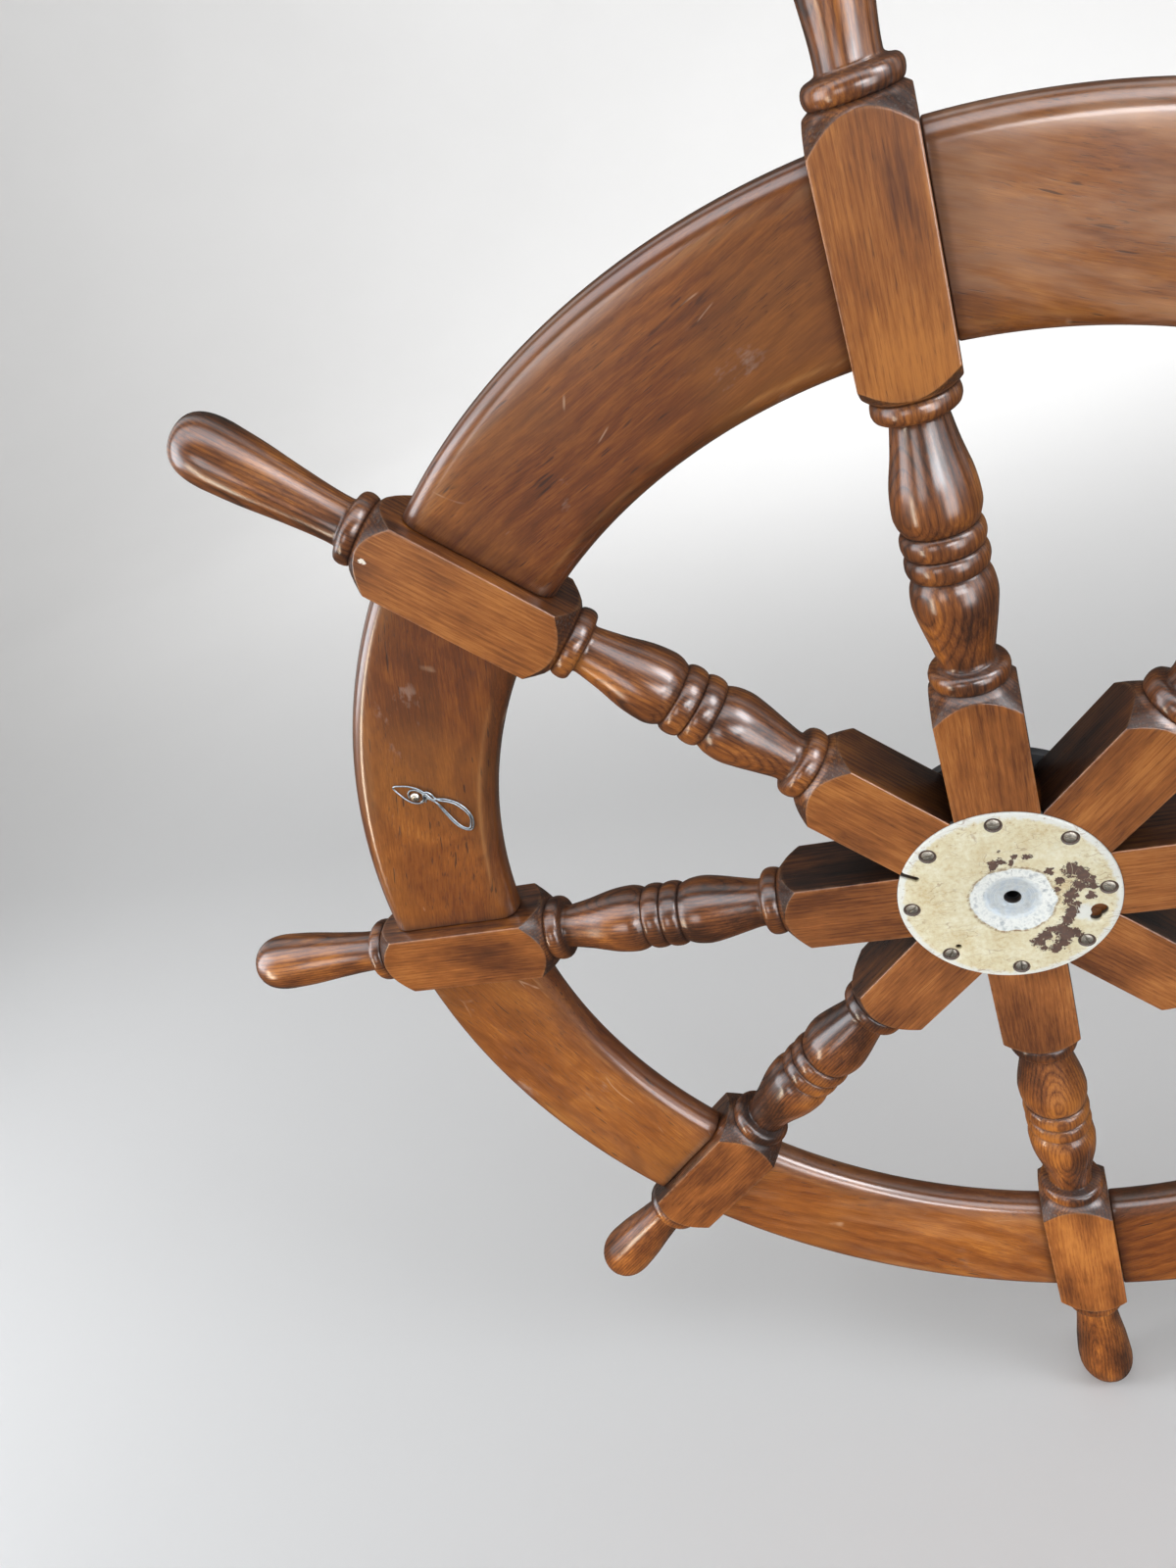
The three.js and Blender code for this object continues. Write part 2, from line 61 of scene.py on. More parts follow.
MM = 0.001
SPOKES = 8
STEP = 2 * math.pi / SPOKES
MID = -0.095  # the wheel's mid plane
HALF = 26.25  # half the side of the spokes' square stock, in mm
AXIS = 0.001  # mm, the radius of a lathed profile's ends, just clear of its axis
RANDOM = np.random.default_rng(7)


# ------------------------------------------------------------------ mesh tools
def linked(name, data):
    """A new object of the data, in the scene."""
    obj = bpy.data.objects.new(name, data)
    bpy.context.scene.collection.objects.link(obj)
    return obj


def new_object(name, vertices, faces, sharp=None):
    """An object from points in mm and faces, with its normals outwards. Edges sharper than
    the angle sharp, in degrees, stay crisp."""
    mesh = bpy.data.meshes.new(name)
    mesh.from_pydata((np.asarray(vertices, float) * MM).tolist(), [], faces)
    work = bmesh.new()
    work.from_mesh(mesh)
    bmesh.ops.remove_doubles(work, verts=work.verts, dist=1e-7)
    bmesh.ops.recalc_face_normals(work, faces=work.faces)
    work.to_mesh(mesh)
    work.free()
    obj = linked(name, mesh)
    shade(obj, sharp)
    return obj


def shade(obj, sharp=None):
    obj.data.shade_smooth()
    if sharp is not None:
        obj.data.set_sharp_from_angle(angle=math.radians(sharp))


def ring_grid(rows, start_cap=True, end_cap=True):
    """Points and faces of a closed tube from rows, an array (rows, around, 3)."""
    rows = np.asarray(rows, float)
    count, around = rows.shape[:2]
    faces = []
    for i in range(count - 1):
        for j in range(around):
            k = (j + 1) % around
            here, ahead = i * around, (i + 1) * around
            faces.append((here + j, here + k, ahead + k, ahead + j))
    if start_cap:
        faces.append(tuple(range(around - 1, -1, -1)))
    if end_cap:
        faces.append(tuple((count - 1) * around + j for j in range(around)))
    return rows.reshape(-1, 3), faces


def lathe(profile, sides=96, closed=False):
    """Points and faces of a profile of (radius, y) points turned about Y. A closed profile
    is a loop that doesn't touch the axis."""
    profile = np.asarray(profile, float)
    turn = np.arange(sides) * 2 * math.pi / sides
    rows = np.stack(
        [
            np.outer(profile[:, 0], np.sin(turn)),
            np.repeat(profile[:, 1:2], sides, axis=1),
            np.outer(profile[:, 0], np.cos(turn)),
        ],
        axis=-1,
    )
    if closed:
        rows = np.concatenate([rows, rows[:1]])
    return ring_grid(rows, not closed, not closed)


def merged(*parts):
    """Several (points, faces) pairs as one."""
    points, faces, start = [], [], 0
    for part_points, part_faces in parts:
        points.append(np.asarray(part_points, float))
        faces += [tuple(start + i for i in face) for face in part_faces]
        start += len(part_points)
    return np.concatenate(points), faces


def moved(part, shift=(0, 0, 0), turn=0.0, flip=False):
    """(points, faces) turned about Y by turn, mirrored front to back if flip, and shifted."""
    points = np.array(part[0], float)
    if flip:
        points[:, 1] *= -1
    c, s = math.cos(turn), math.sin(turn)
    x = points[:, 0] * c + points[:, 2] * s
    z = -points[:, 0] * s + points[:, 2] * c
    points[:, 0], points[:, 2] = x, z
    return points + np.asarray(shift, float), part[1]


def block(size, shift=(0, 0, 0), turn=0.0):
    """(points, faces) of a cuboid, as a boolean tool."""
    corners = [(x, y, z) for x in (-1, 1) for y in (-1, 1) for z in (-1, 1)]
    points = np.array(corners) * np.asarray(size) / 2
    faces = [(0, 1, 3, 2), (4, 6, 7, 5), (0, 4, 5, 1), (2, 3, 7, 6), (0, 2, 6, 4), (1, 5, 7, 3)]
    return moved((points, faces), shift, turn)


def carve(obj, *tools, sharp=30, bevel=0.0, operation="DIFFERENCE"):
    """Cuts the tools, which don't overlap one another, out of obj, and eases its edges."""
    if tools:
        tool = new_object("tool", *merged(*tools))
        cutter = obj.modifiers.new("cut", "BOOLEAN")
        cutter.operation, cutter.solver, cutter.object = operation, "EXACT", tool
    if bevel:
        ease = obj.modifiers.new("ease", "BEVEL")
        ease.width, ease.segments, ease.limit_method = bevel * MM, 2, "ANGLE"
        ease.angle_limit = math.radians(30)
        ease.use_clamp_overlap = True
    graph = bpy.context.evaluated_depsgraph_get()
    result = bpy.data.meshes.new_from_object(obj.evaluated_get(graph))
    obj.modifiers.clear()
    obj.data = result
    if tools:
        bpy.data.objects.remove(tool)
    shade(obj, sharp)
    return obj


def smooth_through(points, per_span):
    """Points along a smooth curve through the given ones, all but the first included."""
    points = np.asarray(points, float)
    slopes = np.gradient(points, axis=0)
    out = []
    for i in range(len(points) - 1):
        for t in np.linspace(0, 1, per_span + 1)[1:]:
            out.append(
                (2 * t**3 - 3 * t**2 + 1) * points[i]
                + (t**3 - 2 * t**2 + t) * slopes[i]
                + (3 * t**2 - 2 * t**3) * points[i + 1]
                + (t**3 - t**2) * slopes[i + 1]
            )
    return np.array(out)


def tube(path, radius, sides=10):
    """(points, faces) of a round wire along a path of points, with rounded ends."""
    path = np.asarray(path, float)
    ahead = np.gradient(path, axis=0)
    ahead /= np.linalg.norm(ahead, axis=1)[:, None]
    side = np.cross(ahead[0], (0, 1, 0))
    turn = np.arange(sides) * 2 * math.pi / sides
    rows = []

    def row(centre, direction, across, r):
        other = np.cross(direction, across)
        return centre + r * (np.outer(np.cos(turn), across) + np.outer(np.sin(turn), other))

    def rounded_end(centre, direction, way, turns):
        for a in turns:
            past = centre + way * direction * radius * math.cos(a)
            rows.append(row(past, direction, side, radius * math.sin(a)))

    near_tip, near_wall = 0.0785, 0.942
    for i, centre in enumerate(path):
        side = side - ahead[i] * (side @ ahead[i])
        side /= np.linalg.norm(side)
        if i == 0:
            rounded_end(centre, ahead[0], -1, (near_tip, near_wall))
        rows.append(row(centre, ahead[i], side, radius))
    rounded_end(path[-1], ahead[-1], 1, (near_wall, near_tip))
    return ring_grid(rows)


def place(obj, turn=0.0):
    """Sets a wheel piece, made in its own frame, into the row frame."""
    obj.matrix_world = Matrix.Translation((0, MID, 0)) @ Matrix.Rotation(turn, 4, "Y")
    return obj


def finish_piece(obj, body, slot, material, *nodes):
    """Rides obj on its body, gives it its material and lets it stand for nodes. slot is not used.
    """
    if not obj.data.materials:
        obj.data.materials.append(material)
    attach(obj, body)
    if nodes:
        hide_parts(*nodes)
    return obj


def paint(obj, name, values):
    """A number or vector for each vertex, for the materials."""
    values = np.asarray(values, np.float32)
    kind = "FLOAT" if values.ndim == 1 else "FLOAT_VECTOR"
    layer = obj.data.attributes.new(name, kind, "POINT")
    layer.data.foreach_set("value" if values.ndim == 1 else "vector", values.ravel())


def points_of(obj):
    points = np.zeros(len(obj.data.vertices) * 3, np.float32)
    obj.data.vertices.foreach_get("co", points)
    return points.reshape(-1, 3)


# ------------------------------------------------------------------ node tools
class Shader:
    """A material's node tree, with a short call for each kind of node that is used."""

    def __init__(self, name):
        self.material = bpy.data.materials.new(name)
        self.material.use_nodes = True
        self.tree = self.material.node_tree
        self.surface = self.tree.nodes["Principled BSDF"]

    def node(self, kind, inputs, **settings):
        made = self.tree.nodes.new(kind)
        for key, value in settings.items():
            setattr(made, key, value)
        for key, value in inputs.items():
            self.feed(made.inputs[key], value)
        return made

    def feed(self, socket, value):
        if isinstance(value, bpy.types.NodeSocket):
            self.tree.links.new(value, socket)
        elif isinstance(value, (tuple, list)) and socket.type == "RGBA":
            socket.default_value = (*value, 1)
        else:
            socket.default_value = value

    def attribute(self, name, vector=False):
        made = self.node("ShaderNodeAttribute", {}, attribute_name=name)
        return made.outputs["Vector" if vector else "Fac"]

    def object_point(self):
        return self.node("ShaderNodeTexCoord", {}).outputs["Object"]

    def scaled(self, vector, scale):
        made = self.node("ShaderNodeVectorMath", {0: vector, 1: scale}, operation="MULTIPLY")
        return made.outputs[0]

    def along(self, vector, share):
        """vector with its Z shortened, so that a pattern is long in that direction."""
        return self.scaled(vector, (1, 1, share))

    def added(self, vector, other):
        return self.node("ShaderNodeVectorMath", {0: vector, 1: other}, operation="ADD").outputs[0]

    def away(self, vector, point):
        made = self.node("ShaderNodeVectorMath", {0: vector, 1: point}, operation="DISTANCE")
        return made.outputs["Value"]

    def parts(self, vector):
        return self.node("ShaderNodeSeparateXYZ", {0: vector}).outputs

    def math(self, operation, a, b=0.0, c=0.0, clamp=False):
        made = self.node("ShaderNodeMath", {0: a, 1: b, 2: c}, operation=operation, use_clamp=clamp)
        return made.outputs[0]

    def plus(self, a, b, clamp=False):
        return self.math("ADD", a, b, clamp=clamp)

    def minus(self, a, b, clamp=False):
        return self.math("SUBTRACT", a, b, clamp=clamp)

    def times(self, a, b):
        return self.math("MULTIPLY", a, b)

    def swayed(self, value, noise, reach):
        """value, moved up and down by noise about its middle."""
        return self.plus(value, self.times(self.minus(noise, 0.5), reach))

    def tinted(self, colour, share, weight, other):
        """colour, mixed with the screen colour other by share times weight."""
        return self.mix(self.times(share, weight), colour, srgb(*other))

    def noise(self, vector, scale, detail=2.0, rough=0.5):
        inputs = {"Vector": vector, "Scale": scale, "Detail": detail, "Roughness": rough}
        return self.node("ShaderNodeTexNoise", inputs).outputs["Fac"]

    def noise_vector(self, vector, scale, detail=2.0):
        inputs = {"Vector": vector, "Scale": scale, "Detail": detail}
        made = self.node("ShaderNodeTexNoise", inputs).outputs["Color"]
        return self.added(made, (-0.5, -0.5, -0.5))

    def wobble(self, vector, scale, detail, reach):
        """A noise vector about zero, times reach."""
        return self.scaled(self.noise_vector(vector, scale, detail), reach)

    def seams(self, vector, scale):
        """The distance to the edges of a pattern of cells."""
        inputs = {"Vector": vector, "Scale": scale}
        made = self.node("ShaderNodeTexVoronoi", inputs, feature="DISTANCE_TO_EDGE")
        return made.outputs["Distance"]

    def band(self, value, low, high, to_low=0.0, to_high=1.0):
        """value from low to high, as to_low to to_high, held at both ends."""
        inputs = {"Value": value, "From Min": low, "From Max": high}
        inputs |= {"To Min": to_low, "To Max": to_high}
        made = self.node("ShaderNodeMapRange", inputs, interpolation_type="SMOOTHSTEP")
        return made.outputs["Result"]

    def shades(self, value, *stops):
        """A ramp from stops of a place and a screen colour."""
        return self.ramp(value, *((at, srgb(*colour)) for at, *colour in stops))

    def ramp(self, value, *stops):
        made = self.node("ShaderNodeValToRGB", {"Fac": value})
        elements = made.color_ramp.elements
        while len(elements) < len(stops):
            elements.new(0.5)
        for element, (at, colour) in zip(elements, stops):
            element.position = at
            element.color = (*colour, 1)
        return made.outputs["Color"]

    def greys(self, value, *stops):
        return self.ramp(value, *((at, (grey,) * 3) for at, grey in stops))

    def mix(self, share, a, b):
        made = self.node("ShaderNodeMix", {}, data_type="RGBA")
        for socket, value in zip((made.inputs[0], made.inputs[6], made.inputs[7]), (share, a, b)):
            self.feed(socket, value)
        return made.outputs[2]

    def bump(self, height, distance, strength=1.0, below=None):
        inputs = {"Height": height, "Distance": distance * MM, "Strength": strength}
        if below is not None:
            inputs["Normal"] = below
        return self.node("ShaderNodeBump", inputs).outputs["Normal"]

    def finish(self, **inputs):
        """Sets the surface: base_color=..., roughness=..., and so on."""
        for key, value in inputs.items():
            label = key.replace("_", " ").title().replace("Ior", "IOR")
            self.feed(self.surface.inputs[label], value)
        return self.material


def srgb(r, g, b):
    """A colour as seen on a screen, 0 to 255, as linear light."""
    shares = (v / 255 for v in (r, g, b))
    return tuple(((v + 0.055) / 1.055) ** 2.4 if v > 10 / 255 else v / 12.92 for v in shares)


# ------------------------------------------------------------------ wood
def turned_wood():
    """Open-grained wood with growth rings about the grain attribute's Z axis. marks holds
    edge wear, groove dirt with painted shade, and 0 on the blocks' front, 1 where the lathe
    turned the wood and up to 2 on the blocks' sides, where the part above 1 is painted shade."""
    s = Shader("spoke_wood")
    grain = s.attribute("grain", vector=True)
    marks = s.parts(s.attribute("marks", vector=True))
    tone = s.attribute("tone")
    wear, dirt, turned = marks[0], marks[1], marks[2]

    bend = s.wobble(s.along(grain, 0.3), 11, 2, (0.012, 0.012, 0.0))
    wander = s.wobble(s.along(grain, 0.2), 120, 1, (0.0005, 0.0005, 0.0))
    bent = s.added(s.added(grain, bend), wander)
    from_pith = s.away(s.scaled(bent, (1, 1, 0)), (0, 0, 0))
    spread = s.noise(s.along(grain, 0.05), 28, 1)
    phase = s.plus(s.times(from_pith, 380), s.times(spread, 5.0))
    ring = s.math("FRACT", phase)
    early = s.greys(ring, (0.0, 0.35), (0.1, 1.0), (0.3, 0.4), (0.55, 0.0), (1.0, 0.35))
    fibre = s.noise(s.along(grain, 0.05), 1000, 3, 0.75)
    streak = s.noise(s.along(grain, 0.05), 420, 2, 0.6)
    pore_field = s.noise(s.along(grain, 0.045), 2300, 1, 0.5)
    pore = s.band(pore_field, 0.60, 0.68)
    pore = s.times(pore, s.plus(s.times(early, 0.8), 0.25))

    contrast = s.band(turned, 0, 1, 0.12, 0.24)
    mottle = s.noise(s.along(grain, 0.4), 34, 3, 0.55)
    depth = s.times(early, contrast)
    depth = s.swayed(depth, streak, 0.36)
    depth = s.swayed(depth, fibre, 0.75)
    cloudy = s.band(turned, 0, 1, 1.3, 1.7)
    depth = s.swayed(depth, mottle, cloudy)
    depth = s.plus(depth, s.times(tone, 0.3))
    depth = s.plus(depth, 0.3)
    flat = s.shades(
        depth,
        (0.0, 182, 116, 54),
        (0.3, 146, 86, 36),
        (0.62, 101, 55, 22),
        (1.0, 54, 30, 16),
    )
    round_ = s.shades(
        depth,
        (0.0, 178, 110, 44),
        (0.3, 124, 70, 29),
        (0.62, 68, 37, 18),
        (1.0, 28, 18, 13),
    )
    colour = s.mix(s.band(turned, 0, 1), flat, round_)
    # Painted shade: where marks' third value is above 1, on the blocks' sides, the wood darkens
    # towards near black.
    colour = s.mix(s.minus(turned, 1.0, clamp=True), colour, srgb(20, 12, 10))
    colour = s.tinted(colour, pore, 0.5, (46, 25, 17))
    worn = s.noise(grain, 160, 3, 0.6)
    worn = s.times(wear, s.band(worn, 0.36, 0.62))
    colour = s.tinted(colour, worn, 0.4, (184, 132, 88))
    stain = s.noise(grain, 420, 3, 0.6)
    # Dirt darkens the wood, with painted shade in the grooves.
    dirt_and_painted_shade = s.times(dirt, s.band(stain, 0.2, 0.55, 0.35, 1.0))
    colour = s.tinted(colour, dirt_and_painted_shade, 0.85, (38, 26, 22))
    dust = s.times(s.band(dirt, 0.82, 1.0), s.band(stain, 0.52, 0.72))
    colour = s.tinted(colour, dust, 0.35, (142, 130, 122))
    torn = s.wobble(grain, 500, 3, (4, 4, 4))
    from_fleck = s.added(s.attribute("fleck", vector=True), torn)
    fleck = s.band(s.away(s.scaled(from_fleck, (1, 0.5, 0.6)), (0, 0, 0)), 1.9, 1.6)
    colour = s.mix(fleck, colour, srgb(236, 230, 220))

    roughness = s.plus(s.times(mottle, 0.2), 0.3)
    roughness = s.plus(roughness, s.times(pore, 0.25))
    roughness = s.plus(roughness, s.times(dirt, 0.25), clamp=True)
    height = s.minus(s.times(early, -0.35), s.times(pore, 0.9))
    height = s.plus(height, s.times(fibre, 0.25))
    fine = s.bump(height, 0.06, 0.7)
    broad = s.bump(s.noise(grain, 42, 2, 0.5), 1.1, 0.3, fine)
    return s.finish(
        base_color=colour,
        roughness=roughness,
        normal=broad,
        coat_weight=s.minus(1.0, s.times(dirt, 0.8)),
        coat_roughness=0.22,
        specular_ior_level=0.1,
    )


def felloe_wood():
    """Close-grained boards, the grain running straight along each one. marks holds edge
    wear, darkening at the joints, a dark joint line with painted shade beside it, and how
    far onto the rounded edges a point is, which darkens them."""
    s = Shader("felloe_wood")
    grain = s.attribute("grain", vector=True)
    marks = s.parts(s.attribute("marks", vector=True))
    tone, pale_figure_and_sheen = s.attribute("tone"), s.attribute("pale_figure_and_sheen")
    wear, dirt, edge = marks[0], marks[1], marks[2]

    bend = s.wobble(s.along(grain, 0.45), 6.5, 2, (0.035, 0.035, 0.0))
    bent = s.added(grain, bend)
    from_pith = s.away(s.scaled(bent, (1, 1, 0)), (0, 0, 0))
    phase = s.times(from_pith, 120)
    ring = s.math("FRACT", s.plus(phase, s.times(s.noise(bent, 20, 2), 2.0)))
    early = s.greys(ring, (0.0, 0.6), (0.16, 1.0), (0.55, 0.2), (0.9, 0.0), (1.0, 0.5))
    fibre = s.noise(s.along(bent, 0.05), 950, 3, 0.75)
    streak = s.noise(s.along(bent, 0.09), 260, 3, 0.6)
    pore_field = s.noise(s.along(bent, 0.075), 1500, 1, 0.4)
    cluster = s.noise(s.along(grain, 0.5), 26, 2)
    pore = s.times(s.band(pore_field, 0.62, 0.70), s.band(cluster, 0.38, 0.66, 0.15, 1.0))
    mottle = s.noise(s.along(grain, 0.6), 17, 4, 0.6)
    blotch = s.noise(grain, 6, 2, 0.5)

    depth = s.times(early, 0.16)
    depth = s.swayed(depth, streak, 0.3)
    depth = s.swayed(depth, fibre, 0.75)
    depth = s.swayed(depth, mottle, 0.7)
    depth = s.swayed(depth, blotch, 0.55)
    depth = s.plus(depth, s.times(tone, 0.3))
    depth = s.plus(depth, s.times(edge, 0.24))
    depth = s.plus(depth, 0.40)
    colour = s.shades(
        depth,
        (0.0, 184, 118, 50),
        (0.3, 144, 84, 30),
        (0.6, 108, 56, 20),
        (1.0, 56, 30, 14),
    )
    golden = s.band(s.noise(s.added(grain, (3, 1, 0)), 8, 2), 0.4, 0.64)
    colour = s.tinted(colour, golden, 0.28, (146, 96, 44))
    colour = s.tinted(colour, pore, 0.6, (52, 31, 22))
    dash = s.band(s.noise(s.along(bent, 0.11), 420, 1, 0.4), 0.68, 0.74)
    dashes = s.times(dash, s.band(s.noise(s.added(grain, (0, 2, 0)), 11, 1), 0.44, 0.54))
    colour = s.tinted(colour, dashes, 0.7, (34, 24, 21))
    ragged = s.noise(s.along(grain, 0.5), 60, 4, 0.7)
    scuff = s.times(s.band(ragged, 0.58, 0.72), s.band(s.noise(grain, 9, 1), 0.5, 0.62))
    colour = s.tinted(colour, scuff, 0.42, (160, 138, 126))
    long_grain = s.along(grain, 0.16)
    scratch_at = s.added(long_grain, s.wobble(grain, 7, 1, (0.09, 0.09, 0.0)))
    line = s.seams(scratch_at, 17)
    scratch = s.times(s.band(line, 0.009, 0.002), s.band(s.noise(grain, 31, 2), 0.6, 0.68))
    colour = s.tinted(colour, scratch, 0.4, (205, 172, 140))
    rubbed = s.noise(s.along(grain, 0.08), 120, 3, 0.6)
    worn = s.times(wear, s.band(rubbed, 0.4, 0.62))
    worn = s.times(worn, s.band(s.noise(grain, 7, 1), 0.44, 0.6))
    colour = s.tinted(colour, worn, 0.4, (190, 138, 82))
    # Painted sheen: pale streaks on some boards stand in for a reflected veil; on felloe_1 they are
    # also a paler figure in the wood.
    pale_streaks = s.band(s.noise(s.along(bent, 0.22), 30, 4, 0.65), 0.42, 0.62, 0.0, 1.3)
    colour = s.mix(s.times(pale_figure_and_sheen, pale_streaks), colour, srgb(198, 154, 122))
    # Darker at the joints: a dark joint line with painted shade beside it.
    colour = s.tinted(colour, dirt, 0.95, (36, 22, 16))

    roughness = s.plus(s.times(mottle, 0.22), 0.27)
    roughness = s.plus(roughness, s.times(scuff, 0.3))
    roughness = s.plus(roughness, s.times(dirt, 0.25), clamp=True)
    height = s.minus(s.times(fibre, 0.4), pore)
    height = s.minus(height, s.times(scratch, 1.2))
    height = s.minus(height, s.times(dashes, 1.5))
    fine = s.bump(height, 0.10, 0.7)
    broad = s.bump(s.noise(s.along(grain, 0.5), 30, 3, 0.5), 1.6, 0.35, fine)
    return s.finish(
        base_color=colour,
        roughness=roughness,
        normal=broad,
        coat_weight=s.minus(1.0, s.times(dirt, 0.8)),
        coat_roughness=0.19,
        specular_ior_level=0.15,
    )


def bare_wood():
    """Pale unvarnished wood, its grain along X."""
    s = Shader("tenon_wood")
    at = s.object_point()
    fibre = s.noise(s.scaled(at, (0.05, 1, 1)), 900, 3, 0.6)
    streak = s.noise(s.scaled(at, (0.06, 1, 1)), 150, 2, 0.5)
    depth = s.plus(s.times(fibre, 0.4), s.times(streak, 0.6))
    light, middle, dark = srgb(206, 164, 112), srgb(186, 138, 88), srgb(150, 104, 62)
    colour = s.ramp(depth, (0.3, light), (0.55, middle), (0.75, dark))
    roughness = s.band(fibre, 0, 1, 0.6, 0.8)
    return s.finish(base_color=colour, roughness=roughness, normal=s.bump(fibre, 0.1, 0.6))


# ------------------------------------------------------------------ metal and paint
PLATE_SHIFT = -3.0
PLATE_RADIUS = 70.2
PLATE_FRONT = -HALF - 1.6
PLATE_REAR = PLATE_FRONT + 5
SCREW_CIRCLE = 61.7
# Where the plate's paint has come off, as x, z and radius in mm from the hole's centre.
CHIPS = [
    (-8, 30.5, 3.2), (-3, 31.5, 2.8), (-9, 27, 2), (3, 29.5, 2.4), (5.5, 34, 1.8),
    (13.5, 33, 2.6), (-2.6, 40.5, 1.3), (25, 19, 2.9), (30, 10, 3), (27.5, 3.5, 2.2),
    (39, 17.5, 6), (44, 13, 4.6), (48, 8, 3.8), (49, 3, 3), (47.5, -5, 3.2),
    (41, 4, 4.6), (36, -2, 4.4), (33, -8, 3), (37, -12, 3.8), (34, -18, 4.4),
    (31, -24, 4.2), (21, -31, 3.8), (16, -36, 4.6), (10.5, -40.5, 4), (27, -31, 4.6),
    (28, -37, 5.4), (34, -36, 4.4), (26, -43, 5.4), (21, -48, 3.8), (13.5, -47, 3.2),
]


def aged_paint():
    """The hub plate's cream paint: a pale rim, a bare turned centre and brown chips, with painted
    shade in the centre hole and on the faces set back from its front.
    """
    s = Shader("cream_paint")
    at = s.scaled(s.object_point(), (1000, 0, 1000))
    ragged = s.wobble(at, 0.2, 4, (7, 0, 7))
    torn = s.added(s.added(at, ragged), s.wobble(at, 0.9, 3, (3, 0, 3)))
    chip = None
    for x, z, radius in CHIPS:
        near = s.minus(1.0, s.math("DIVIDE", s.away(torn, (x, 0, z)), radius * 1.5))
        chip = near if chip is None else s.math("SMOOTH_MAX", chip, near, 0.25)
    crumbled = s.times(s.minus(s.noise(at, 0.45, 5, 0.7), 0.5), 1.7)
    chip = s.band(s.plus(chip, crumbled), 0.30, 0.37)
    speck = s.band(s.noise(at, 0.55, 2, 0.6), 0.71, 0.76)
    gritty = s.band(s.noise(at, 0.05, 2), 0.45, 0.6)
    grit = s.times(s.band(s.noise(at, 1.1, 2, 0.6), 0.68, 0.74), gritty)
    chip = s.math("MAXIMUM", chip, s.times(s.math("MAXIMUM", speck, grit), 0.9))
    across = s.added(s.scaled(at, (1.0, 0, 0.36)), s.wobble(at, 0.07, 1, (7, 0, 7)))
    gouge = s.band(s.seams(across, 0.24), 0.035, 0.012)
    gouge = s.times(gouge, s.band(s.noise(at, 0.09, 1), 0.5, 0.6))
    chip = s.times(chip, s.minus(1.0, s.times(gouge, 0.9)))

    cloud = s.noise(at, 0.05, 4, 0.6)
    dirt = s.noise(at, 0.3, 4, 0.7)
    soiled = s.plus(s.times(cloud, 0.56), s.times(dirt, 0.52))
    cream = s.shades(
        soiled,
        (0.4, 222, 220, 200),
        (0.54, 210, 203, 172),
        (0.66, 198, 183, 144),
        (0.8, 164, 134, 94),
    )
    edge_at = s.away(torn, (PLATE_SHIFT, 0, 0))
    pale = s.math("MAXIMUM", s.band(edge_at, 64.5, 67.5), s.band(s.away(torn, (43, 0, -19)), 9, 5))
    cream = s.tinted(cream, pale, 0.85, (218, 223, 223))
    grime = s.times(s.band(dirt, 0.56, 0.7), s.band(edge_at, 50, 64))
    cream = s.tinted(cream, grime, 0.5, (142, 108, 68))
    wavy = s.wobble(at, 0.12, 2, (9, 0, 9))
    slanted = s.added(s.scaled(at, (0.6, 0, -1.0)), wavy)
    hair = s.band(s.seams(s.scaled(slanted, (0.35, 0, 1.0)), 0.2), 0.03, 0.008)
    hair = s.times(hair, s.band(s.noise(at, 0.06, 2), 0.46, 0.6))
    cream = s.tinted(cream, hair, 0.5, (138, 106, 72))

    at_axis = s.away(at, (0, 0, 0))
    torn_axis = s.away(s.added(at, s.wobble(at, 0.07, 3, (7, 0, 7))), (0, 0, -1.5))
    bare = s.band(torn_axis, 27.6, 26.6)
    outline = s.times(s.band(torn_axis, 26.4, 27.4), s.band(torn_axis, 29.4, 27.9))
    polished = s.band(at_axis, 19.0, 16.8)
    rings = s.noise(s.node("ShaderNodeCombineXYZ", {0: at_axis}).outputs[0], 1.6, 2, 0.6)
    chalk = s.noise(at, 0.16, 4, 0.6)
    metal = s.shades(chalk, (0.3, 188, 198, 204), (0.5, 228, 233, 233), (0.7, 150, 162, 172))
    steel = s.shades(rings, (0.25, 168, 186, 202), (0.75, 232, 240, 246))
    metal = s.mix(s.times(polished, s.band(chalk, 0.42, 0.6, 0.35, 1.0)), metal, steel)
    colour = s.mix(bare, cream, metal)
    colour = s.mix(s.times(outline, s.band(dirt, 0.4, 0.6, 0.1, 0.75)), colour, srgb(116, 84, 52))
    brown = s.shades(dirt, (0.35, 64, 40, 30), (0.7, 98, 66, 48))
    colour = s.mix(chip, colour, brown)
    # Painted shade: the centre hole, its chamfer and a thin ring round it are painted near black,
    # so the hole looks dark and wide.
    hole = s.band(at_axis, 5.8, 5.35)
    colour = s.mix(hole, colour, srgb(20, 18, 18))
    # Painted shade: faces more than about 2 mm behind the plate's front, the walls of its holes,
    # notch and edge, are darkened to dark brown.
    into = s.parts(s.object_point())[1]
    painted_deep_shade = s.band(into, (PLATE_FRONT + 1.5) * MM, (PLATE_FRONT + 2.5) * MM)
    colour = s.tinted(colour, painted_deep_shade, 0.92, (46, 34, 27))

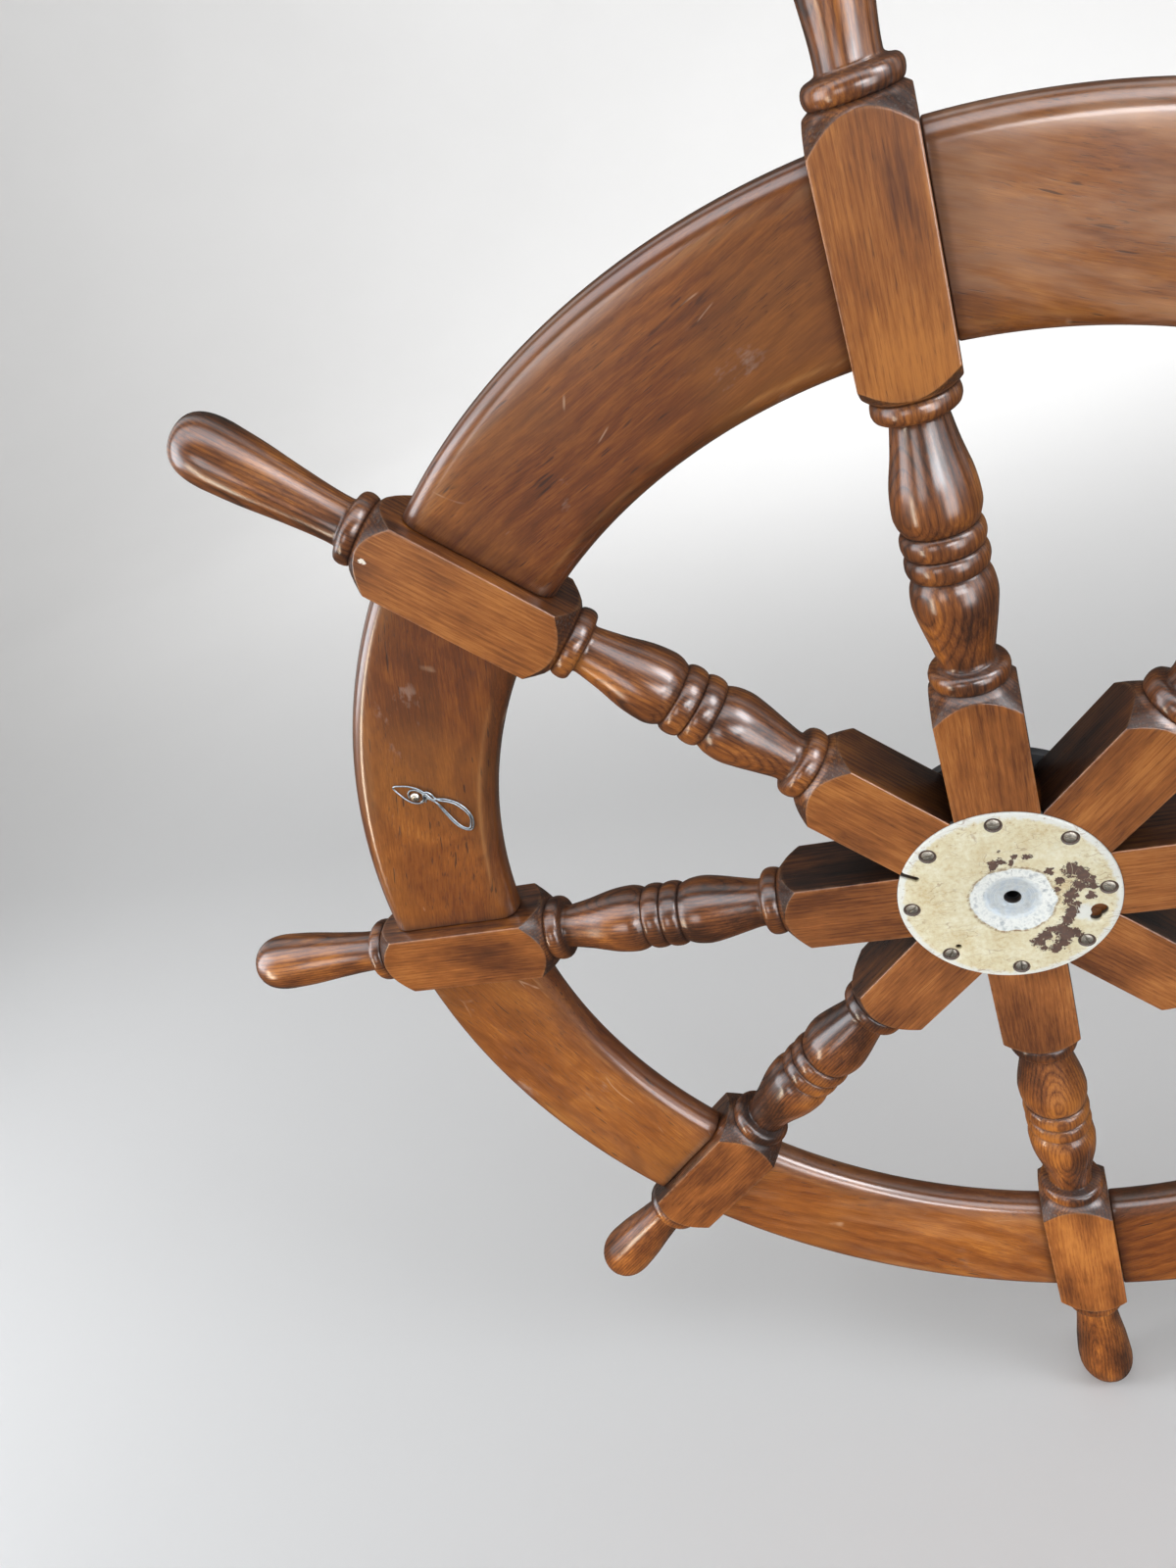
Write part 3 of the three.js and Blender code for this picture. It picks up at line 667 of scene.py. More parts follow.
    bare_share = s.times(bare, s.band(at_axis, 20, 14, 0.0, 0.5))
    bare_share = s.times(bare_share, s.minus(1.0, hole))
    roughness = s.minus(s.band(dirt, 0.3, 0.7, 0.38, 0.6), s.times(bare_share, 0.16))
    roughness = s.plus(roughness, s.times(chip, 0.2))
    height = s.times(s.math("MAXIMUM", chip, s.times(bare, 0.7)), -1.0)
    height = s.plus(height, s.times(dirt, 0.2))
    paint_bump = s.bump(height, 0.35, 0.9)
    turned = s.bump(s.times(rings, polished), 0.06, 0.5, paint_bump)
    metallic = s.times(bare_share, 0.9)
    return s.finish(base_color=colour, roughness=roughness, metallic=metallic, normal=turned)


def black_paint():
    """Black paint on cast metal, worn and rusty in places."""
    s = Shader("black_paint")
    at = s.object_point()
    cast = s.noise(at, 420, 3, 0.6)
    worn = s.noise(at, 60, 4, 0.6)
    colour = s.shades(worn, (0.35, 33, 33, 35), (0.6, 46, 46, 48), (0.74, 74, 66, 58))
    rust = s.times(s.band(s.noise(at, 34, 5, 0.7), 0.66, 0.74), 0.6)
    colour = s.mix(rust, colour, srgb(96, 54, 34))
    roughness = s.band(worn, 0.3, 0.7, 0.36, 0.62)
    return s.finish(base_color=colour, roughness=roughness, normal=s.bump(cast, 0.25, 0.55))


def steel(name, light, dark, rough, rust_share, grime_from=None):
    """Worn steel: fine marks, and dirt or rust in patches. Grime covers a screw's head
    from the radius grime_from outwards, in mm."""
    s = Shader(name)
    at = s.object_point()
    fine = s.noise(s.scaled(at, (1, 6, 1)), 700, 2, 0.6)
    patch = s.noise(at, 210, 4, 0.65)
    colour = s.ramp(s.plus(s.times(fine, 0.5), s.times(patch, 0.5)), (0.35, dark), (0.62, light))
    rust = s.band(patch, 0.56, 0.68, 0.0, rust_share)
    if grime_from:
        radius = s.away(s.scaled(at, (1, 0, 1)), (0, 0, 0))
        reach = s.swayed(radius, patch, 2 * MM)
        rust = s.math("MAXIMUM", rust, s.band(reach, grime_from * MM, (grime_from + 0.7) * MM))
    colour = s.mix(rust, colour, srgb(74, 52, 39))
    roughness = s.plus(s.band(fine, 0.3, 0.7, rough - 0.08, rough + 0.1), s.times(rust, 0.3))
    metallic = s.minus(1.0, s.times(rust, 0.8))
    marked = s.bump(fine, 0.04, 0.4)
    return s.finish(base_color=colour, roughness=roughness, metallic=metallic, normal=marked)


def bronze():
    """Turned bronze with tarnish."""
    s = Shader("bronze")
    at = s.object_point()
    radius = s.away(s.scaled(at, (1, 0, 1)), (0, 0, 0))
    turned_at = s.node("ShaderNodeCombineXYZ", {0: radius, 1: s.parts(at)[1]}).outputs[0]
    marked = s.bump(s.noise(turned_at, 1400, 2, 0.6), 0.05, 0.5)
    tarnish = s.noise(at, 90, 4, 0.6)
    colour = s.shades(tarnish, (0.35, 196, 148, 84), (0.6, 166, 118, 62), (0.75, 108, 76, 44))
    roughness = s.band(tarnish, 0.3, 0.7, 0.28, 0.5)
    return s.finish(base_color=colour, roughness=roughness, metallic=1.0, normal=marked)


def hole_dirt():
    """Packed dirt on the walls of the front plate's screw holes."""
    s = Shader("hole_dirt")
    dirt = s.noise(s.object_point(), 900, 4, 0.7)
    colour = s.shades(dirt, (0.35, 44, 31, 25), (0.55, 78, 59, 47), (0.74, 140, 126, 108))
    roughness = s.band(dirt, 0.3, 0.7, 0.5, 0.8)
    return s.finish(base_color=colour, roughness=roughness, normal=s.bump(dirt, 0.15, 0.7))


SPOKE_WOOD = turned_wood()
FELLOE_WOOD = felloe_wood()
TENON_WOOD = bare_wood()
CREAM = aged_paint()
BLACK = black_paint()
SCREW_STEEL = steel("screw_steel", srgb(190, 184, 172), srgb(122, 112, 100), 0.42, 0.4, 3.5)
STUD_STEEL = steel("wire_screw_steel", srgb(196, 188, 174), srgb(122, 112, 100), 0.32, 0.55)
DARK_STEEL = steel("dark_steel", srgb(104, 104, 106), srgb(62, 62, 64), 0.42, 0.35)
SHAFT_STEEL = steel("shaft_steel", srgb(190, 192, 194), srgb(142, 144, 148), 0.28, 0.12)
WIRE_STEEL = steel("wire_steel", srgb(152, 158, 162), srgb(92, 99, 105), 0.42, 0.08)
BRONZE = bronze()
DIRT = hole_dirt()


# ------------------------------------------------------------------ spokes
START, TIP = 22.9, 609.6
MITRE = math.tan(STEP / 2)
POINT = 0.15 / math.sin(STEP / 2)
ARRIS = 0.9  # radius of the square stock's worn corners
BLEND = 0.7  # how softly the turned and the square surfaces meet
SHOULDERS = {  # (place, radius) from the square's corner down to the groove
    "hub": [(139, 37.2), (142.5, 34.4), (147, 30.6), (151.5, 26.25), (155, 22.4)],
    "rim_start": [(350, 37.2), (347.2, 34.4), (343, 30.6), (338.5, 26.25), (336, 22.4)],
    "rim_end": [(462, 37.2), (466, 34.4), (471.2, 30.6), (476.5, 26.25), (479.3, 22.4)],
}


def bead(start, end, top, count=11):
    """Points of a rounded bead between two (place, radius) points, without the first."""
    turn = np.linspace(-math.pi / 2, math.pi / 2, count)[1:]
    place_ = (start[0] + end[0]) / 2 + (end[0] - start[0]) / 2 * np.sin(turn)
    base = start[1] + (end[1] - start[1]) * (place_ - start[0]) / (end[0] - start[0])
    return np.stack([place_, base + (top - base) * np.cos(turn)], axis=1)


def handle_end(start, radius, tip, count=22):
    """The handle's blunt round end, from its widest place to a point near the tip."""
    turn = np.linspace(0, math.pi / 2, count)[1:-1]
    place_ = start + (tip - start) * np.sin(turn)
    share = (place_ - start) / (tip - start)
    return np.stack([place_, radius * (1 - share**2.7) ** (1 / 2.7)], axis=1)


# Points of (place, radius) along the turned parts' long curves.
INNER_VASE = [
    (169.0, 17.7), (173, 17.4), (185, 19.9), (200, 23.2), (212, 25), (222, 24.1), (228.6, 21.8),
]
OUTER_VASE = [
    (258.4, 21.8), (263.5, 24.1), (270.5, 25), (285, 23.6), (303, 19.4), (319, 16.5), (322.6, 16.3),
]
GRIP = [(492.3, 16.8), (495, 16.1), (508, 16.5), (532, 18.7), (557, 21.5), (580, 23)]
TURNING = np.concatenate([
    [(155, 22.4)],
    bead((155, 22.4), (167.4, 20.4), 24.5),
    [(168.0, 18.6), (169.0, 17.7)],
    smooth_through(INNER_VASE, 5),
    [(229.3, 21.2)],
    bead((229.3, 21.2), (243.5, 21.6), 24.4),
    bead((243.5, 21.6), (257.7, 21.2), 24.4),
    [(258.4, 21.8)],
    smooth_through(OUTER_VASE, 5),
    [(323.4, 16.8), (323.8, 18.6), (324.2, 20.6)],
    bead((324.2, 20.6), (336, 22.4), 24.5),
])
HANDLE = np.concatenate([
    [(479.3, 22.4)],
    bead((479.3, 22.4), (490.8, 20.4), 24.8),
    [(491.4, 18.4), (492.3, 16.8)],
    smooth_through(GRIP, 6),
    handle_end(580, 23, TIP),
])
# How dark, -1 to 1, the hub block, turned part, rim block and handle are, from spoke_1 on.
# spoke_5's turned part is made lighter, partly as a painted highlight standing in for the broad
# highlight on it.
SPOKE_TONES = (
    (0.05, -0.2, -0.45, -0.2),
    (0.2, 0.1, 0.1, 0.1),
    (0.0, 0.0, 0.0, 0.0),
    (0.1, 0.1, 0.1, 0.1),
    (0.35, -0.7, -0.2, -0.2),
    (0.3, 0.1, 0.55, 0.1),
    (0.55, 0.2, 0.2, -0.2),
    (-0.2, 0.0, -0.2, 0.1),
)
TONE_AT = (150, 240, 345, 465, 500)
FLECK_AT = np.array([-3.0, -HALF, 470.0])  # a fleck of white paint, in its spoke's frame
FLECKED = 7  # the fleck is on spoke_8
FAR = 99.0  # mm, for a point that an edge or fleck doesn't reach
GROOVES = (155, 168.6, 229.3, 243.5, 257.7, 323.6, 336, 479.3, 491.6)


def around_angles():
    """Shares round the section: 0 is a face's middle, 1 a corner, 2 the next face's middle."""
    half = [0, 0.17, 0.34, 0.5, 0.66, 0.8, 0.9, 0.95, 0.975, 0.99]
    return np.array(half + [1.0] + [2 - t for t in half[:0:-1]])


def stock_radius(place_, share, quadrant):
    """How far the mitred square stock's surface is from the spoke's axis, and its angle."""
    across = np.minimum(HALF, (place_ - POINT) * MITRE)
    a, b = (across, HALF) if quadrant % 2 == 0 else (HALF, across)
    corner = np.arctan2(b, a)
    angle = np.where(share <= 1, share * corner, corner + (share - 1) * (math.pi / 2 - corner))
    arris = np.minimum(ARRIS, across * 0.4)
    along_a = a / np.maximum(np.cos(angle), 1e-6)
    along_b = b / np.maximum(np.sin(angle), 1e-6)
    on_a = along_a * np.sin(angle) <= b - arris
    on_b = along_b * np.cos(angle) <= a - arris
    dot = (a - arris) * np.cos(angle) + (b - arris) * np.sin(angle)
    inside = dot**2 - (a - arris) ** 2 - (b - arris) ** 2 + arris**2
    rounded = dot + np.sqrt(np.maximum(inside, 0))
    return np.where(on_a, along_a, np.where(on_b, along_b, rounded)), angle + quadrant * math.pi / 2


def soft_min(a, b, width):
    share = np.clip(0.5 + 0.5 * (b - a) / width, 0, 1)
    return b * (1 - share) + a * share - width * share * (1 - share)


def spoke_rows():
    """The spoke's surface as rows from hub to tip, with each point's edge wear and how much
    it was turned on the lathe."""
    shares = np.tile(around_angles()[:-1], 4)
    quadrants = np.repeat(np.arange(4), len(around_angles()) - 1)
    full, _ = stock_radius(np.full(len(shares), 200.0), shares, 0)
    rows, wear, turned_share = [], [], []

    def add(places, turned, creases):
        radius, angle = np.zeros(len(shares)), np.zeros(len(shares))
        for q in range(4):
            mine = quadrants == q
            radius[mine], angle[mine] = stock_radius(places[mine], shares[mine], q)
        surface = soft_min(radius, turned, BLEND) if turned is not None else radius
        x, y = surface * np.cos(angle), surface * np.sin(angle)
        rows.append(np.stack([x, y, places], axis=1))
        across = np.minimum(HALF, (places - POINT) * MITRE)
        arris = np.hypot(across - np.abs(x), HALF - np.abs(y))
        near = arris if turned is None else np.where(turned < radius - BLEND, FAR, arris)
        if creases is not None:
            near = np.minimum(near, np.abs(places - creases) + 0.15)
        wear.append(np.exp(-near / 1.1))
        reach = radius + 1 if turned is None else turned
        turned_share.append(np.clip((radius - reach) / BLEND + 0.5, 0, 1))

    def crease_of(name):
        path = np.array(SHOULDERS[name])[::-1]
        return np.interp(full, path[:, 1], path[:, 0])

    def turned_at(name, places):
        path = np.array(SHOULDERS[name])
        order = np.argsort(path[:, 0])
        return np.interp(places, path[order, 0], path[order, 1])

    def stretch(low, high, steps):
        return [low + (high - low) * t for t in np.linspace(0, 1, steps + 1)]

    edges = (1.6, 0.9, 0.5, 0.25, 0.0)
    flat = np.ones(len(shares))
    block_rows = 26
    clear = edges[0] + 1.0  # where a block's even rows stop short of its crease

    def shoulder(name, outward):
        """The rows either side of a crease, from the block into the groove or back."""
        crease = crease_of(name)
        groove = SHOULDERS[name][-1][0]
        sign = 1 if groove > crease.min() else -1
        block_side = [crease - sign * e for e in edges]
        turned_side = [crease + sign * e for e in edges[3::-1]]
        rest = stretch(turned_side[-1], groove * flat, 6)[1:]
        places = block_side + turned_side + rest
        for p in places if outward else places[::-1]:
            reach = np.where((p - crease) * sign < -2.0, FAR, turned_at(name, p))
            add(p, reach, crease)

    hub_crease = crease_of("hub")
    for p in stretch(START * flat, hub_crease - clear, block_rows):
        add(p, None, None)
    shoulder("hub", outward=True)
    for p, r in TURNING[1:-1]:
        add(p * flat, r * flat, None)
    start_crease, end_crease = crease_of("rim_start"), crease_of("rim_end")
    shoulder("rim_start", outward=False)
    for p in stretch(start_crease + clear, end_crease - clear, block_rows):
        add(p, None, None)
    shoulder("rim_end", outward=True)
    for p, r in HANDLE[1:]:
        add(p * flat, r * flat, None)
    return np.array(rows), np.stack([wear, turned_share], axis=-1)


def build_spokes():
    rows, marks = spoke_rows()
    points, faces = ring_grid(rows)
    lookup = {tuple(np.round(p, 2)): m for p, m in zip(points, marks.reshape(-1, 2))}
    grooves = np.array(GROOVES)
    above, floor, reach = -HALF - 3, PLATE_REAR + 0.3, PLATE_RADIUS + 0.3
    recess = [(AXIS, above), (reach, above), (reach, floor), (AXIS, floor)]
    seat = moved(lathe(recess, 128), (PLATE_SHIFT, 0, 0))
    for i in range(SPOKES):
        obj = new_object(f"spoke_{i + 1}_turned", points, faces)
        carve(obj, moved(seat, turn=-i * STEP), sharp=35)
        co = points_of(obj) / MM
        keys = (tuple(np.round(p, 2)) for p in co.astype(float))
        worn, turned = np.array([lookup.get(key, (0.0, 0.0)) for key in keys]).T
        radius = np.hypot(co[:, 0], co[:, 1])
        # Darker in and beside the grooves of the turned parts: dirt with painted shade. The
        # shoulders get dirt too.
        nearest = np.abs(co[:, 2:3] - grooves).min(axis=1)
        dirt = (0.6 * np.exp(-nearest / 1.1) + 0.4 * np.exp(-nearest / 4.5)) * (radius < 30)
        # Painted shade: the blocks' sides, where little light falls, get a third mark above 1 that
        # darkens them, most near the hub.
        on_side = (np.abs(co[:, 0]) > HALF - 0.4) & (np.abs(co[:, 1]) < HALF - 0.6)
        shoulder = turned * (radius > 26) * 0.92
        dirt = np.maximum(dirt, shoulder)
        shadow = np.interp(co[:, 2], [50, 150, 330, 350], [0.95, 0.4, 0.4, 0.15])
        turned = np.where(on_side, 1 + shadow, turned)
        pith = RANDOM.uniform(0, 2 * math.pi)
        offset = RANDOM.uniform(0.030, 0.075)
        shift = np.array([offset * math.cos(pith), offset * math.sin(pith), RANDOM.uniform(0, 40)])
        tilt = RANDOM.uniform(-0.03, 0.03, 2)
        grain = co * MM
        grain[:, :2] += grain[:, 2:3] * tilt
        paint(obj, "grain", grain + shift)
        paint(obj, "marks", np.stack([worn, dirt, turned], axis=1))
        hub, middle, rim, handle = SPOKE_TONES[i]
        paint(obj, "tone", np.interp(co[:, 2], TONE_AT, (hub, middle, rim, rim, handle)))
        paint(obj, "fleck", co - FLECK_AT if i == FLECKED else np.full_like(co, FAR))
        place(obj, i * STEP)
        finish_piece(obj, "wheel", "spoke_wood", SPOKE_WOOD, f"spoke_{i + 1}")


# ------------------------------------------------------------------ rim
RIM_INNER, RIM_OUTER, RIM_HALF, RIM_EDGE = 356.0, 462.0, 14.0, 12.0
RIM_MIDDLE = 405
# How dark, from -1 to 1, the boards are, and how strongly pale streaks are painted on them,
# from 0 to 1, from felloe_1 on. The streaks are a painted sheen, on felloe_1 also a paler figure.
FELLOE_TONES = (-0.2, 0.1, -0.1, 0.1, -0.4, -0.35, 0.12, 0)
FELLOE_FIGURE_AND_SHEEN = (0.28, 0.06, 0, 0, 0.12, 0.04, 0, 0)
JOINT = HALF + 0.2


def rim_section():
    """The felloe's section as (radius, y) points with their outward directions."""
    corners = [
        (RIM_INNER + RIM_EDGE, -RIM_HALF + RIM_EDGE, math.pi),
        (RIM_OUTER - RIM_EDGE, -RIM_HALF + RIM_EDGE, 1.5 * math.pi),
        (RIM_OUTER - RIM_EDGE, RIM_HALF - RIM_EDGE, 0),
        (RIM_INNER + RIM_EDGE, RIM_HALF - RIM_EDGE, 0.5 * math.pi),
    ]
    section = []
    for k, (r, y, start) in enumerate(corners):
        for t in np.linspace(0, math.pi / 2, 9):
            a = start + t
            out = (math.cos(a), math.sin(a))
            section.append((r + RIM_EDGE * out[0], y + RIM_EDGE * out[1], *out))
        if k in (0, 2):
            ahead = corners[k + 1][0]
            out = (0.0, -1.0 if k == 0 else 1.0)
            for t in np.linspace(0, 1, 12)[1:-1]:
                section.append((r + (ahead - r) * t, out[1] * RIM_HALF, *out))
    return np.array(section)


def felloe_rows():
    section = rim_section()
    ease = 1.3
    ends = []
    for psi in np.radians([90, 67, 45, 22]):
        ends.append((ease * (1 - math.sin(psi)), ease * (1 - math.cos(psi))))
    rows = []

    def row(turn, inset):
        r = section[:, 0] - inset * section[:, 2]
        y = section[:, 1] - inset * section[:, 3]
        return np.stack([r * np.sin(turn), y, r * np.cos(turn)], axis=1)

    def end_turn(gap, inset):
        r = section[:, 0] - inset * section[:, 2]
        return STEP / 2 - np.arcsin((JOINT + gap) / r)

    for gap, inset in ends:
        rows.append(row(-end_turn(gap, inset), inset))
    far = end_turn(ease, 0.0)
    for share in np.linspace(-1, 1, 61):
        rows.append(row(far * share, 0.0))
    for gap, inset in ends[::-1]:
        rows.append(row(end_turn(gap, inset), inset))
    return np.array(rows)


def build_felloes():
    points, faces = ring_grid(felloe_rows())
    for i in range(SPOKES):
        obj = new_object(f"felloe_{i + 1}_board", points, faces, sharp=40)
        co = points_of(obj) / MM
        radius = np.hypot(co[:, 0], co[:, 2])
        turn = np.arctan2(co[:, 0], co[:, 2])
        to_joint = radius * np.sin(STEP / 2 - np.abs(turn)) - JOINT
        front = co[:, 1] < 0
        shoulder_out = np.abs(radius - (RIM_OUTER - RIM_EDGE * 0.95))
        shoulder_in = np.abs(radius - (RIM_INNER + RIM_EDGE * 0.8))
        worn = np.exp(-np.minimum(shoulder_out, shoulder_in * 1.5) / 2.0) * front
        # Darker towards the joints with the spokes: a dark joint line, with painted shade fading
        # out from it beside the blocks.
        dirt = 0.6 * np.exp(-to_joint / 1.2) + 0.4 * np.exp(-to_joint / 5.0)
        past_flat = np.maximum(radius - RIM_OUTER, RIM_INNER - radius)
        rounding = np.clip(past_flat / RIM_HALF + 1, 0, 1)
        pith = np.array([RANDOM.uniform(*span) for span in ((-0.08, 0.08), (0.08, 0.20), (0, 40))])
        grain = np.stack([co[:, 2] - RIM_MIDDLE, co[:, 1], co[:, 0]], axis=1) * MM
        tilt = RANDOM.uniform(-0.06, 0.06)
        grain[:, 0] += grain[:, 2] * tilt
        paint(obj, "grain", grain + pith)
        paint(obj, "marks", np.stack([worn, dirt, rounding], axis=1))
        paint(obj, "tone", np.full(len(co), FELLOE_TONES[i]))
        paint(obj, "pale_figure_and_sheen", np.full(len(co), FELLOE_FIGURE_AND_SHEEN[i]))
        place(obj, (i + 0.5) * STEP)
        finish_piece(obj, "wheel", "felloe_wood", FELLOE_WOOD, f"felloe_{i + 1}")


# ------------------------------------------------------------------ hub
REAR_FRONT = HALF + 0.3
REAR_BACK = REAR_FRONT + 9
REAR_CIRCLE = 66


def countersink(head, depth):
    return lathe([(AXIS, -3), (head, -3), (head, 0.35), (2.8, depth), (2.8, 12), (AXIS, 12)], 40)


def screw_places(circle, shift):
    turns = [i * STEP for i in range(SPOKES)]
    return [(shift + circle * math.sin(t), circle * math.cos(t)) for t in turns]


def build_front_plate():
    disc = lathe([
        (AXIS, PLATE_FRONT),
        (PLATE_RADIUS - 1.5, PLATE_FRONT),
        (PLATE_RADIUS - 0.6, PLATE_FRONT + 0.35),
        (PLATE_RADIUS, PLATE_FRONT + 1.1),
        (PLATE_RADIUS, PLATE_REAR),
        (AXIS, PLATE_REAR),
    ], 192)
    plate = new_object("hub_plate_painted", *moved(disc, (PLATE_SHIFT, 0, 0)))
    dish = lathe([
        (AXIS, PLATE_FRONT - 2),
        (19.0, PLATE_FRONT - 2),
        (18.4, PLATE_FRONT - 0.02),
        (17.0, PLATE_FRONT + 0.55),
        (13.0, PLATE_FRONT + 1.0),
        (5.6, PLATE_FRONT + 1.25),
        (5.2, PLATE_FRONT + 1.6),
        (5.2, PLATE_REAR + 3),
        (AXIS, PLATE_REAR + 3),
    ], 128)
    low, high = PLATE_FRONT - 2, PLATE_REAR + 2

    def round_hole(r, x, z, sides=48):
        hole = lathe([(AXIS, low), (r, low), (r, high), (AXIS, high)], sides)
        return moved(hole, (x, 0, z))

    head = 5.7
    screws = screw_places(SCREW_CIRCLE, PLATE_SHIFT)
    holes = [moved(countersink(head, 2.9), (x, PLATE_FRONT, z)) for x, z in screws]
    carve(plate, dish, round_hole(2.1, -40.5, -37.5), *holes)
    carve(plate, round_hole(5.5, 51.2, -18.4))
    carve(plate, round_hole(3.8, 48.4, -23.8))
    carve(plate, block((24, 14, 4.2), (-67.5, PLATE_FRONT, 31.9), math.radians(30)))
    carve(plate, round_hole(2.1, -57.1, 25.9, 32), bevel=0.22)
    plate.data.materials.append(CREAM)
    plate.data.materials.append(DIRT)
    for polygon in plate.data.polygons:
        x, _, z = polygon.center / MM
        near = min(math.hypot(x - a, z - b) for a, b in screws)
        if near < head + 0.05 and abs(polygon.normal.y) < 0.98:
            polygon.material_index = 1
    place(plate)
    finish_piece(plate, "wheel", "cream_paint", CREAM, "front_hub_plate")


def screw_head(name):
    """A countersunk screw with a shallow dome and a slot."""
    profile = [
        (AXIS, -0.75), (1.6, -0.70), (3.0, -0.42), (4.1, 0.02), (4.75, 0.4), (4.9, 0.75),
        (4.7, 1.0), (2.4, 2.9), (2.4, 20), (AXIS, 23),
    ]
    head = new_object(name, *lathe(profile, 40))
    return carve(head, block((12, 2.6, 1.25), (0, -0.7, 0)), bevel=0.12)


def build_screws():
    head = screw_head("front_plate_screw_1_head")
    mesh = head.data
    bpy.data.objects.remove(head)
    for i, (x, z) in enumerate(screw_places(SCREW_CIRCLE, PLATE_SHIFT)):
        screw = linked(f"front_plate_screw_{i + 1}_head", mesh)
        spot = Matrix.Translation((x * MM, MID + (PLATE_FRONT + 0.7) * MM, z * MM))
        screw.matrix_world = spot @ Matrix.Rotation(0.4 * i, 4, "Y")
        finish_piece(screw, "wheel", "screw_steel", SCREW_STEEL, f"front_plate_screw_{i + 1}")
    back_mesh = mesh.copy()
    back_mesh.materials.clear()
    for i, (x, z) in enumerate(screw_places(REAR_CIRCLE, 0)):
        screw = linked(f"rear_flange_screw_{i + 1}_head", back_mesh)
        spot = Matrix.Translation((x * MM, MID + (REAR_BACK - 0.6) * MM, z * MM))
        turn = Matrix.Rotation(0.7 * i, 4, "Y") @ Matrix.Rotation(math.pi, 4, "X")
        screw.matrix_world = spot @ turn
        finish_piece(screw, "wheel", "dark_steel", DARK_STEEL, f"rear_flange_screw_{i + 1}")


def build_rear_flange():
    profile = [
        (12.9, REAR_FRONT), (78, REAR_FRONT), (78, REAR_BACK - 1.4), (77.6, REAR_BACK - 0.4),
        (76.6, REAR_BACK), (31.5, REAR_BACK), (28.6, REAR_BACK + 0.9), (27.2, REAR_BACK + 3.2),
        (27, REAR_BACK + 5), (27, 58.0), (26.6, 59.1), (25.6, 59.5), (13.9, 59.5), (12.9, 58.6),
    ]
    flange = new_object("rear_flange_cast", *lathe(profile, 144, closed=True))
    screws = screw_places(REAR_CIRCLE, 0)
    holes = [moved(countersink(5.4, 2.9), (x, -REAR_BACK, z)) for x, z in screws]
    holes = [moved(hole, flip=True) for hole in holes]
    key = block((8.6, 40, 8), (0, 45, 13))
    carve(flange, *holes, key)
    socket = lathe([(AXIS, 9), (4.2, 9), (4.2, 31), (AXIS, 31)], 36)
    across = socket[0][:, [1, 0, 2]] + [0, 48, 0]
    down = socket[0][:, [0, 2, 1]] * [1, 1, -1] + [0, 48, 0]
    carve(flange, (across, socket[1]), (down, socket[1]), bevel=0.2)
    place(flange)
    finish_piece(flange, "wheel", "black_paint", BLACK, "rear_hub_flange")


def build_shaft():
    profile = [
        (AXIS, -22.2), (11.7, -22.2), (12.5, -21.4), (12.5, 84.9), (11.3, 84.9), (11.3, 87.1),
        (12.5, 87.1), (12.5, 93.0), (11.5, 94), (2.4, 94), (AXIS, 92.2),
    ]
    shaft = new_object("steering_shaft_turned", *lathe(profile, 96))
    hole = lathe([(AXIS, -25), (4.25, -25), (4.25, 1.8), (AXIS, 4)], 32)
    carve(shaft, hole, block((8.6, 56.6, 9), (0, 29, 8.7 + 4.5)), sharp=30)
    shaft.data.materials.append(SHAFT_STEEL)
    shaft.data.materials.append(BLACK)
    for polygon in shaft.data.polygons:
        if polygon.center.y < -20 * MM or math.hypot(polygon.center.x, polygon.center.z) < 4.4 * MM:
            polygon.material_index = 1
    place(shaft)
    finish_piece(shaft, "wheel", "shaft_steel", SHAFT_STEEL, "steering_shaft")


def oval(middle, end, reach, pieces=24):
    """The outline, as x and z, round a large circle and a small one at each side of it."""
    lean = math.acos((middle - end) / reach)
    outline = []
    for x, radius, start, stop in (
        (reach, end, -lean, lean),
        (0, middle, lean, math.pi - lean),
        (-reach, end, math.pi - lean, math.pi + lean),
        (0, middle, math.pi + lean, 2 * math.pi - lean),
    ):
        for turn in np.linspace(start, stop, pieces):
            outline.append((x + radius * math.cos(turn), radius * math.sin(turn)))
    return np.array(outline)


